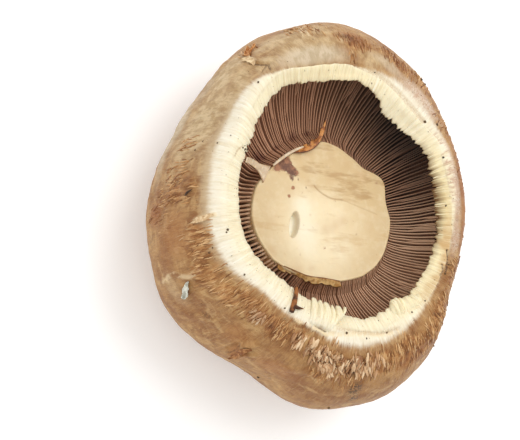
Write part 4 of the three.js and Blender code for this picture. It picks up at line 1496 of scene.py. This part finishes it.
def stem_face(x, y):
    """Height of the cut face, and the marks on it."""
    u = (x - PIT["x"]) * math.cos(PIT["turn"]) + (y - PIT["y"]) * math.sin(PIT["turn"])
    v = -(x - PIT["x"]) * math.sin(PIT["turn"]) + (y - PIT["y"]) * math.cos(PIT["turn"])
    pit = smooth(2.7 * (1 - np.hypot(u / PIT["half_width"], v / PIT["half_length"])))
    spot = np.stack([x, y, np.zeros_like(x)], axis=-1)
    stop = [tuple(p) for p in eased_path([(*p, 0.0) for p in KNIFE_STOP], 20)[:, :2]]
    near = path_distance(x, y, stop)
    line = np.exp(-((near / 0.2) ** 2)) + 0.45 * np.exp(-((path_distance(x, y, KNIFE_TRAIL) / 0.18) ** 2))
    beyond = smooth((y - 5.6 + 0.22 * x) / 3.0)
    height = 0.14 * layered(spot, 5.0, 81) + 0.05 * layered(spot, 1.2, 83)
    height = height - PIT["depth"] * pit - 0.14 * line - 0.22 * beyond
    return height, {"pit": pit, "line": np.clip(line, 0, 1)}


def stem_rows(angle):
    r = stem_radius(angle)
    dish = 0.25 * np.sin(angle * 2 + 0.6)
    wobble = 0.18 * drift_round(angle, 2.5, 87, 18.0)
    wall = [
        (r - 0.2, FLESH_AT_STEM + 0.3), (r - 0.5, FLESH_AT_STEM + 1.6), (r - 0.6, FLESH_AT_STEM + 3.8),
        (r - 0.4, STEM_CUT - 5.6), (r - 0.25, STEM_CUT - 3.8), (r - 0.1, STEM_CUT - 2.0), (r, STEM_CUT - 0.4),
    ]
    rows = [polar(rr + wobble, angle, np.full_like(angle, z)) for rr, z in wall]
    for t in np.linspace(0, 1, 8)[1:]:
        lift = STEM_CUT - 0.4 + (0.6 + 0.3 * dish) * math.sin(t * math.pi / 2)
        rows.append(polar(r + wobble - 0.45 * (1 - math.cos(t * math.pi / 2)), angle, lift))
    for share in np.linspace(0.965, 0.012, 76):
        rim = smooth((share - 0.62) / 0.38)
        z = STEM_CUT + 0.68 - 0.25 * smooth((share - 0.3) / 0.32) - 0.42 * rim
        z = z + dish * smooth(share / 0.6) * (1 - 0.6 * rim)
        ring = polar((r + wobble) * share, angle, z)
        height, _ = stem_face(ring[:, 0], ring[:, 1])
        ring[:, 2] += height * smooth((0.975 - share) / 0.08)
        rows.append(ring)
    return rows


def stem_finish():
    material, tree, shader = finish_of("stem_flesh", roughness=0.55, soft=0.15, reach=1.2)
    place = tree.nodes.new("ShaderNodeTexCoord").outputs["Object"]
    cloud = noise(tree, place, 70.0, 4, 0.6)
    fine = noise(tree, place, 420.0, 5, 0.65)
    cut = noise(tree, stretched(tree, place, (0.22, 1.0, 1.0)), 300.0, 4, 0.6)
    shade = blended(tree, read(tree, "bright"), colour(212, 187, 144), colour(233, 215, 178))
    shade = coats(tree, shade, [(cloud, 0.5, 0.68, 0.5, (216, 190, 144))])
    chalk = maths(tree, "ADD", read(tree, "chalky"), maths(tree, "MULTIPLY_ADD", cloud, 1.2, -0.6))
    shade = coats(tree, shade, [(chalk, 0.05, 0.85, 0.85, (238, 230, 206))])
    shade = stain(tree, shade, "upper", 0.55, colour(206, 178, 130))
    shade = coats(tree, shade, [
        (cut, 0.54, 0.7, 0.45, (194, 158, 106)),
        (fine, 0.56, 0.3, 0.16, (246, 234, 206)),
    ])
    browned = maths(tree, "MULTIPLY", read(tree, "upper"), levels(tree, cut, 0.5, 0.62, 0, 0.5))
    shade = blended(tree, browned, shade, colour(164, 124, 72))
    # The side wall is painted an even cream: partly the flesh's own colour, partly painted light that lifts
    # the shade under the gills.
    shade = blended(tree, levels(tree, read(tree, "side"), 0, 1, 0, 0.9), shade, colour(226, 206, 172))
    rough_edge = maths(tree, "MULTIPLY_ADD", fine, 2.2, -1.1)
    smudge = levels(tree, maths(tree, "ADD", read(tree, "smudge"), rough_edge), 0.3, 0.7)
    smudge_shade = blended(tree, levels(tree, fine, 0.42, 0.58), colour(96, 54, 38), colour(156, 104, 74))
    shade = blended(tree, maths(tree, "MULTIPLY", smudge, 0.95), shade, smudge_shade)
    shade = stain(tree, shade, "faint", 0.6, colour(190, 150, 104))
    shade = stain(tree, shade, "line", 0.6, colour(150, 108, 62))
    # The pit is whitened, partly the fresh flesh and partly painted light, and a ring at its rim gets a
    # painted shadow.
    shade = blended(tree, read(tree, "pit"), shade, colour(246, 240, 220))
    painted_pit_shadow = maths(tree, "MULTIPLY", read(tree, "pit"), maths(tree, "SUBTRACT", 1.0, read(tree, "pit")))
    shade = blended(tree, maths(tree, "MULTIPLY", painted_pit_shadow, 1.3), shade, colour(176, 150, 112))
    height = maths(tree, "ADD", maths(tree, "MULTIPLY", fine, 0.5), maths(tree, "MULTIPLY", cut, 0.5))
    surfaced(tree, shader, shade, height, depth=0.12)
    return material


def stem_piece():
    rows = stem_rows(stem_angles)
    points, faces = stitched(rows)
    x, y, z = points.T
    _, marks = stem_face(x, y)
    on_face = smooth((z - STEM_CUT + 0.9) / 0.6 + 3.0 * marks["pit"])

    def blots(listed):
        """Soft round blots on the cut face, from 0 to 1: (x, y, radius, strength)."""
        total = 0
        for at_x, at_y, size, strength in listed:
            far = (x - at_x) ** 2 + (y - at_y) ** 2
            total = total + strength * np.exp(-(far / (0.5 * size**2)))
        return np.clip(total, 0, 1) * on_face

    attributes = {
        "pit": marks["pit"] * on_face, "line": marks["line"] * on_face, "side": 1 - on_face,
        "smudge": blots([m for m in SMUDGES if m[3] > 0.5]),
        "faint": blots([m for m in SMUDGES if m[3] <= 0.5]), "chalky": blots(CHALKY),
        "upper": smooth((y - 5.0 + 0.25 * x) / 3.5),
        "bright": smooth(1.25 - np.hypot(x + 0.5, (y + 5.5) / 1.15) / 14.0),
    }
    return piece("stem_fine", points, facing_out(points, faces), stem_finish(), attributes)


stem = stem_piece()
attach(stem, "root")
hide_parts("stem")

# %% [markdown]
# Two scraps of the ring hang on the stem's edge. The ring has dried to an amber film, thin enough that
# light comes through it. Each is a sheet between two lines that were read off the photograph: the upper
# one ends in a thin tip that stands up over the gills. A pale strand of the veil still runs from the
# margin down to the stem and on along its edge.

# %% Ring scraps and the strand
def film_finish(name, film, edge, dark):
    material, tree, shader = finish_of(name, roughness=0.42, soft=0.3, reach=0.8)
    place = tree.nodes.new("ShaderNodeTexCoord").outputs["Object"]
    wrinkle = noise(tree, place, 620.0, 4, 0.65)
    shade = blended(tree, levels(tree, wrinkle, 0.42, 0.56), film, edge)
    near_rim = maths(tree, "MULTIPLY_ADD", wrinkle, 0.6, read(tree, "rim"))
    shade = blended(tree, levels(tree, near_rim, 0.75, 1.2), shade, dark)
    surfaced(tree, shader, shade, wrinkle, depth=0.25)
    return material


def between(first, second, fray=0.35, count=90, across=11, seed=91, rumple=0.3):
    """A grid of points from one eased path to another, rumpled by drift, and how near each is to a rim."""
    a, b = eased_path(first, count), eased_path(second, count)
    v = np.linspace(0, 1, across)
    grid = a[None] + (b - a)[None] * v[:, None, None]
    torn = fray * drift(grid, 0.9, seed + 5)[..., None] * (b - a)[None] * (v * v)[:, None, None]
    wavy = drift(grid, 2.0, seed) * np.sin(math.pi * v)[:, None]
    grid = grid + torn + np.array([0, 0, rumple]) * wavy[..., None]
    rim = np.maximum(smooth(1 - 4 * v), smooth(4 * v - 3))[:, None] + np.zeros((1, count))
    return grid, rim


amber = film_finish("amber_film", colour(198, 134, 70), colour(142, 84, 40), colour(92, 52, 24))
pale_film = film_finish("pale_film", colour(226, 188, 128), colour(186, 140, 84), colour(118, 76, 38))
side_film = film_finish("side_film", colour(176, 136, 96), colour(146, 106, 70), colour(120, 80, 48))
strand_film = film_finish("strand_film", colour(220, 200, 172), colour(204, 180, 150), colour(186, 156, 124))
FLAP_OUTER = [
    (-5.6, 16.6, 32.0), (-2.9, 18.7, 32.0), (-1.1, 20.0, 32.0), (0.2, 22.0, 32.4), (1.5, 24.8, 33.0),
]
FLAP_INNER = [
    (-8.4, 15.0, 32.5), (-4.2, 15.7, 32.7), (-1.0, 17.6, 32.7), (0.9, 20.6, 32.6), (1.8, 24.4, 32.9),
]
LOWER_INNER = [
    (-12.2, -13.9, 31.9), (-9.8, -14.7, 32.3), (-6.2, -15.8, 32.5), (-3.3, -16.5, 32.5),
    (1.5, -16.7, 32.5), (5.8, -17.0, 32.2),
]
LOWER_OUTER = [
    (-11.6, -15.2, 31.2), (-7.6, -16.2, 31.3), (-5.3, -17.0, 31.3), (-3.1, -17.9, 31.3),
    (1.3, -18.1, 31.4), (6.8, -18.3, 31.3),
]
STRAND_FIRST = [(-26.6, 8.3, 42.3), (-21.2, 9.8, 34.8), (-18.3, 8.9, 33.0), (-16.4, 6.4, 32.2)]
STRAND_SECOND = [(-26.2, 9.9, 42.3), (-20.6, 11.5, 34.8), (-17.1, 10.9, 33.0), (-14.4, 10.9, 32.4)]
STRAND_EDGE = [
    (-13.6, 11.2, 32.3), (-11.3, 13.2, 32.5), (-9.0, 14.9, 32.6), (-6.4, 16.4, 32.4), (-4.6, 17.2, 32.2),
]
SIDE_FIRST = [(-14.4, -10.6, 31.5), (-13.8, -12.4, 31.4), (-12.6, -14.0, 31.3)]
SIDE_SECOND = [(-15.2, -11.6, 29.4), (-14.8, -13.6, 29.2), (-13.4, -15.4, 29.4)]

for name, node, material, lines, thick in (
    ("ring_scrap_upper_fine", "ring_scrap_upper", amber, (FLAP_INNER, FLAP_OUTER, 0.55), 0.24),
    ("ring_scrap_lower_fine", "ring_scrap_lower", pale_film, (LOWER_INNER, LOWER_OUTER), 0.3),
    ("ring_scrap_side", None, side_film, (SIDE_FIRST, SIDE_SECOND), 0.3),
    ("veil_strand", None, strand_film, (STRAND_FIRST, STRAND_SECOND, 0.08), 0.3),
):
    grid, rim = between(*lines)
    scrap = sheet(name, grid, thick, material, {"rim": rim})
    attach(scrap, "root")
    if node:
        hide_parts(node)

edge_strand = tube("veil_strand_edge", STRAND_EDGE, [0.3, 0.42, 0.4, 0.36, 0.2], strand_film, flat=0.7)
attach(edge_strand, "root")

# %% [markdown]
# The raised fibres and flakes of the cap. Noise in a shader can only paint them, and they catch light
# and shade each other. So Geometry Nodes scatter slivers over the cap: the density follows the map's
# attributes, and each sliver is a small block, tapered and curled first, then turned to lie along the
# skin and outwards. Where the skin has cracked into bark, the same tree grows fewer and bigger ones.

# %% Tree that scatters slivers
def sliver_tree(name, density_attribute):
    tree, given, result = geometry_tree(name, {
        "Per square metre": 4e5, "Length": 2.4 * MM, "Width": 0.4 * MM, "Thickness": 0.3 * MM,
        "Curl": 1.2, "Stray": 0.25, "Seed": 3, "Finish": None,
    })
    g = given.outputs
    steps = {"Vertices X": 4, "Vertices Y": 2, "Vertices Z": 2}
    block = grow(tree, "GeometryNodeMeshCube", steps).outputs["Mesh"]
    place = position_parts(tree)
    along = calc(tree, "ADD", place["X"], 0.5)
    taper = calc(tree, "SINE", calc(tree, "MULTIPLY_ADD", along, 2.5, 0.45))
    curl = calc(tree, "MULTIPLY", calc(tree, "MULTIPLY", along, along), g["Curl"])
    narrow = calc(tree, "MULTIPLY", place["Y"], taper)
    curled_up = calc(tree, "ADD", calc(tree, "MULTIPLY", place["Z"], taper), curl)
    block = stored(tree, block, "along", along)
    block = moved(tree, block, Position=vector_of(tree, place["X"], narrow, curled_up))

    density = calc(tree, "MULTIPLY", named(tree, density_attribute), g["Per square metre"])
    sown = {"Mesh": g["Geometry"], "Density": density, "Seed": g["Seed"]}
    scatter = grow(tree, "GeometryNodeDistributePointsOnFaces", sown)
    spot = position_parts(tree)
    stray = drawn_vector(tree, (-1, -1, -1), (1, 1, 1), g["Seed"])
    stray = scaled(tree, stray, calc(tree, "MULTIPLY", g["Stray"], 0.045))
    outwards = added(tree, vector_of(tree, spot["X"], spot["Y"], -0.03), stray)
    align = "FunctionNodeAlignRotationToVector"
    upright = grow(tree, align, {"Vector": scatter.outputs["Normal"]}, axis="Z").outputs[0]
    turned = grow(tree, align, {"Rotation": upright, "Vector": outwards}, axis="X", pivot_axis="Z")
    size = drawn(tree, 0.55, 1.25, calc(tree, "ADD", g["Seed"], 1))
    scale = scaled(tree, vector_of(tree, g["Length"], g["Width"], g["Thickness"]), size)
    tone = drawn(tree, 0.0, 1.0, calc(tree, "ADD", g["Seed"], 2))
    points = stored(tree, scatter.outputs["Points"], "tone", tone)
    shape = copied(tree, points, block, Rotation=turned.outputs[0], Scale=scale)
    bend = grow(tree, "ShaderNodeTexNoise", {"Scale": 900.0, "Detail": 1.0}).outputs["Color"]
    bend = scaled(tree, added(tree, bend, (-0.5, -0.5, -0.5)), 0.5 * MM)
    finished(tree, moved(tree, shape, Offset=bend), g["Finish"], result, smooth_faces=True)
    return tree


def sliver_finish(name, tones):
    material, tree, shader = finish_of(name, roughness=0.6, soft=0.06, reach=0.5)
    place = tree.nodes.new("ShaderNodeTexCoord").outputs["Object"]
    speck = noise(tree, place, 700.0, 3, 0.6)
    value = maths(tree, "MULTIPLY_ADD", read(tree, "tone"), 0.75, -0.12)
    shade = ramp(tree, maths(tree, "MULTIPLY_ADD", speck, 0.5, value), tones)
    # Reddish where the cap's patches are, which includes the painted shade toward the right outline.
    shade = stain(tree, shade, "red", 0.65, colour(128, 74, 40))
    surfaced(tree, shader, shade, speck, depth=0.1)
    return material


# %% [markdown]
# Two kinds of sliver. Long thin ones in rust browns are the silky fibres, and broad curled ones in tan
# are the flakes of the bark. The tree is the same for both, and only the numbers on its inputs and
# the attribute that it reads for its density differ.

# %% Grow the fibres and the flakes
fibre_look = sliver_finish("fibre_rust", [
    (0.05, (104, 64, 32)), (0.35, (160, 108, 60)), (0.65, (192, 144, 92)), (0.9, (220, 182, 134)),
])
flake_look = sliver_finish("flake_tan", [
    (0.05, (140, 94, 60)), (0.4, (188, 144, 102)), (0.75, (222, 188, 148)), (1.0, (236, 212, 178)),
])
fibre_settings = {
    "Per square metre": 2.5e6, "Length": 2.3 * MM, "Width": 0.25 * MM, "Thickness": 0.2 * MM,
    "Curl": 0.7, "Stray": 0.3, "Seed": 3, "Finish": fibre_look,
}
flake_settings = {
    "Per square metre": 2.3e6, "Length": 2.5 * MM, "Width": 0.62 * MM, "Thickness": 0.4 * MM,
    "Curl": 1.3, "Stray": 0.4, "Seed": 5, "Finish": flake_look,
}
for name, mark, settings in (("fibres", "fibres", fibre_settings), ("flakes", "bark", flake_settings)):
    tree = sliver_tree("scatter_" + name, mark)
    grown_piece("cap_" + name, cap.data.copy(), tree, settings)

# %% [markdown]
# Specks of growing soil cling to every cultivated mushroom. The larger ones stand where the photograph
# shows them, and the small ones are drawn at random over the margin and the skin. A short tree puts a
# rough grain on every point, each turned and stretched in its own way.

# %% Specks
SPECKS = [  # degrees, mm out, radius in mm
    (130.5, 6.0, 0.34), (160.5, 8.9, 0.26), (156.0, 6.4, 0.16), (45.0, 5.0, 0.4), (40.5, 7.9, 0.36),
    (27.5, 3.9, 0.36), (54.5, 17.7, 0.5), (52.0, 17.9, 0.4), (75.0, 5.2, 0.2), (75.0, 1.9, 0.2),
    (10.0, 3.7, 0.2), (5.5, 2.2, 0.24), (196.0, 5.0, 0.36), (197.0, 5.4, 0.2), (202.5, 11.2, 0.3),
    (201.0, 9.9, 0.22), (215.5, 7.0, 0.26), (270.5, 5.0, 0.3), (266.5, 8.4, 0.2), (280.0, 5.6, 0.2),
    (290.5, 5.0, 0.24), (307.0, 4.0, 0.24), (316.0, 3.8, 0.24), (314.5, 21.2, 0.32), (276.0, 30.9, 0.42),
    (254.0, 34.9, 0.4), (156.6, 0.2, 0.42), (157.6, 0.9, 0.34), (158.6, 0.4, 0.3), (157.8, 1.8, 0.24),
    (156.2, 1.4, 0.2), (163.5, 15.5, 0.28), (159.5, 14.6, 0.22), (337.5, 4.4, 0.3), (333.2, 4.4, 0.3),
    (238.0, 6.4, 0.2),
]
draw = np.random.default_rng(19)
FINE_SPECKS = [
    (draw.uniform(0, 360), abs(draw.normal(0, 9)) + 0.5, draw.uniform(0.05, 0.11)) for _ in range(190)
]


def speck_tree():
    tree, given, result = geometry_tree("place_specks", {"Seed": 2, "Finish": None})
    g = given.outputs
    ball = grow(tree, "GeometryNodeMeshIcoSphere", {"Radius": 1.0, "Subdivisions": 2}).outputs["Mesh"]
    turn = drawn_vector(tree, (0, 0, 0), (6.28, 6.28, 6.28), g["Seed"])
    scale = drawn_vector(tree, (0.6, 0.6, 0.6), (1.3, 1.3, 1.0), calc(tree, "ADD", g["Seed"], 1))
    scale = scaled(tree, scale, named(tree, "size"))
    shape = copied(tree, g["Geometry"], ball, Rotation=turn, Scale=scale)
    rough = grow(tree, "ShaderNodeTexNoise", {"Scale": 2600.0, "Detail": 1.0}).outputs["Color"]
    rough = scaled(tree, added(tree, rough, (-0.5, -0.5, -0.5)), 0.35 * MM)
    finished(tree, moved(tree, shape, Offset=rough), g["Finish"], result)
    return tree


def debris_finish(name, low, high, size=900.0):
    material, tree, shader = finish_of(name, roughness=0.7)
    place = tree.nodes.new("ShaderNodeTexCoord").outputs["Object"]
    mottle = noise(tree, place, size, 3, 0.6)
    shade = blended(tree, levels(tree, mottle, 0.38, 0.62), colour(*low), colour(*high))
    surfaced(tree, shader, shade, mottle, depth=0.15)
    return material


spots = [(on_skin(degrees, out, 0.03) * MM, radius * MM) for degrees, out, radius in SPECKS + FINE_SPECKS]
speck_points = point_mesh("speck_points", [p for p, _ in spots], {"size": [r for _, r in spots]})
soil = debris_finish("soil", (44, 32, 22), (104, 78, 50))
grown_piece("soil_specks", speck_points, speck_tree(), {"Seed": 2, "Finish": soil})

# %% [markdown]
# Last come the things that are too odd to scatter: a chip of peat over the margin's edge and its
# splinter, a dark bristle, a tuft of fluff, two flakes that have come loose, one of them curled, and
# the frayed skin round a tear. The scraps are narrow sheets that follow points on the map of the skin,
# with both their sides turned up.

# %% Chip, fluff, flake, bristle and frayed skin
def skin_scrap(name, path, widths, lift, material, curl=0.4, seed=1):
    """A thin scrap that lies along (degrees, mm out) points on the skin, its widths spread along it."""
    count, across = 36, 9
    middle = eased_path([on_skin(d, o, lift) for d, o in path], count)
    above = np.array([on_skin(d, o, 1.0) - on_skin(d, o) for d, o in path]).mean(0)
    run = np.gradient(middle, axis=0)
    aside = np.cross(run, above)
    aside /= np.linalg.norm(aside, axis=1, keepdims=True)
    width = np.interp(np.linspace(0, 1, count), np.linspace(0, 1, len(widths)), widths)
    side = np.linspace(-1, 1, across)
    ragged = width[None] * (1 + 0.5 * drift(middle[None] + side[:, None, None] * 1.5, 0.8, seed))
    grid = middle[None] + side[:, None, None] * ragged[..., None] * aside[None]
    lifted = curl * side**2
    rumpled = 0.15 * drift(grid, 1.0, seed + 3)[..., None] * above
    grid = grid + lifted[:, None, None] * above[None, None] + rumpled
    return sheet(name, grid, 0.16, material, {"rim": np.abs(side)[:, None] + np.zeros((1, count))})


peat = debris_finish("peat", (62, 33, 14), (150, 92, 44), 500.0)
bristle_look = debris_finish("bristle_dark", (30, 22, 16), (72, 52, 36))
fluff_look = debris_finish("fluff_grey", (168, 166, 152), (226, 226, 214))
frayed = debris_finish("frayed_skin", (168, 104, 50), (216, 160, 98))
rust_skin = debris_finish("rust_skin", (132, 82, 44), (186, 134, 84))
pale_skin = debris_finish("pale_skin", (196, 162, 120), (228, 204, 164))
CHIP = [(-13.2, -21.8, 43.8), (-13.8, -23.8, 44.5), (-14.7, -26.2, 45.2), (-15.6, -28.4, 45.3)]
SPLINTER = [(-14.9, -26.9, 45.3), (-13.8, -27.3, 45.6), (-12.3, -27.4, 45.5)]
BRISTLE = [(180.8, 15.4, 0.3), (180.2, 14.4, 0.5), (179.2, 13.3, 0.3)]  # on the skin, with its lift
SCRAPS = [  # name, path on the skin, widths, lift, finish, curl, seed
    ("fluff", [(208.8, 19.8), (210.4, 22.2), (212.2, 23.4), (212.8, 25.4)],
     [0.1, 0.7, 0.95, 0.9, 0.6, 0.15], 0.3, fluff_look, 0.5, 21),
    ("loose_flake", [(190.6, 13.8), (190.2, 11.4), (189.6, 7.6)],
     [0.05, 0.35, 0.6, 0.7, 0.25], 0.2, pale_skin, 0.2, 23),
    ("curled_flake", [(238.6, 28.6), (239.0, 25.6), (238.4, 22.6), (240.2, 20.4)],
     [0.1, 0.55, 0.5, 0.6, 0.15], 0.35, rust_skin, 0.35, 33),
    ("frayed_upper", [(117.2, 20.6), (118.8, 18.4), (120.6, 16.2)],
     [0.1, 0.5, 0.6, 0.2], 0.4, frayed, 0.5, 25),
    ("frayed_middle", [(115.4, 19.8), (117.0, 17.8), (119.4, 17.4)],
     [0.1, 0.45, 0.35, 0.1], 0.45, frayed, 0.4, 27),
    ("frayed_lower", [(119.6, 18.9), (121.6, 16.4), (122.4, 14.4)],
     [0.1, 0.5, 0.45, 0.1], 0.35, frayed, 0.4, 29),
    ("frayed_pale", [(124.2, 16.4), (123.6, 13.6), (124.6, 11.0)],
     [0.2, 0.8, 0.9, 0.3], 0.25, pale_skin, 0.3, 31),
]
loose = [
    tube("peat_chip", CHIP, [0.3, 0.6, 0.62, 0.7, 0.75, 0.6], peat, flat=0.6, rough=0.2),
    tube("peat_splinter", SPLINTER, [0.55, 0.4, 0.12], peat, flat=0.7, rough=0.5, seed=2),
    tube("bristle", [on_skin(*place) for place in BRISTLE], [0.1, 0.26, 0.24, 0.08], bristle_look),
]
loose += [skin_scrap(*scrap) for scrap in SCRAPS]
for obj in loose:
    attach(obj, "root")
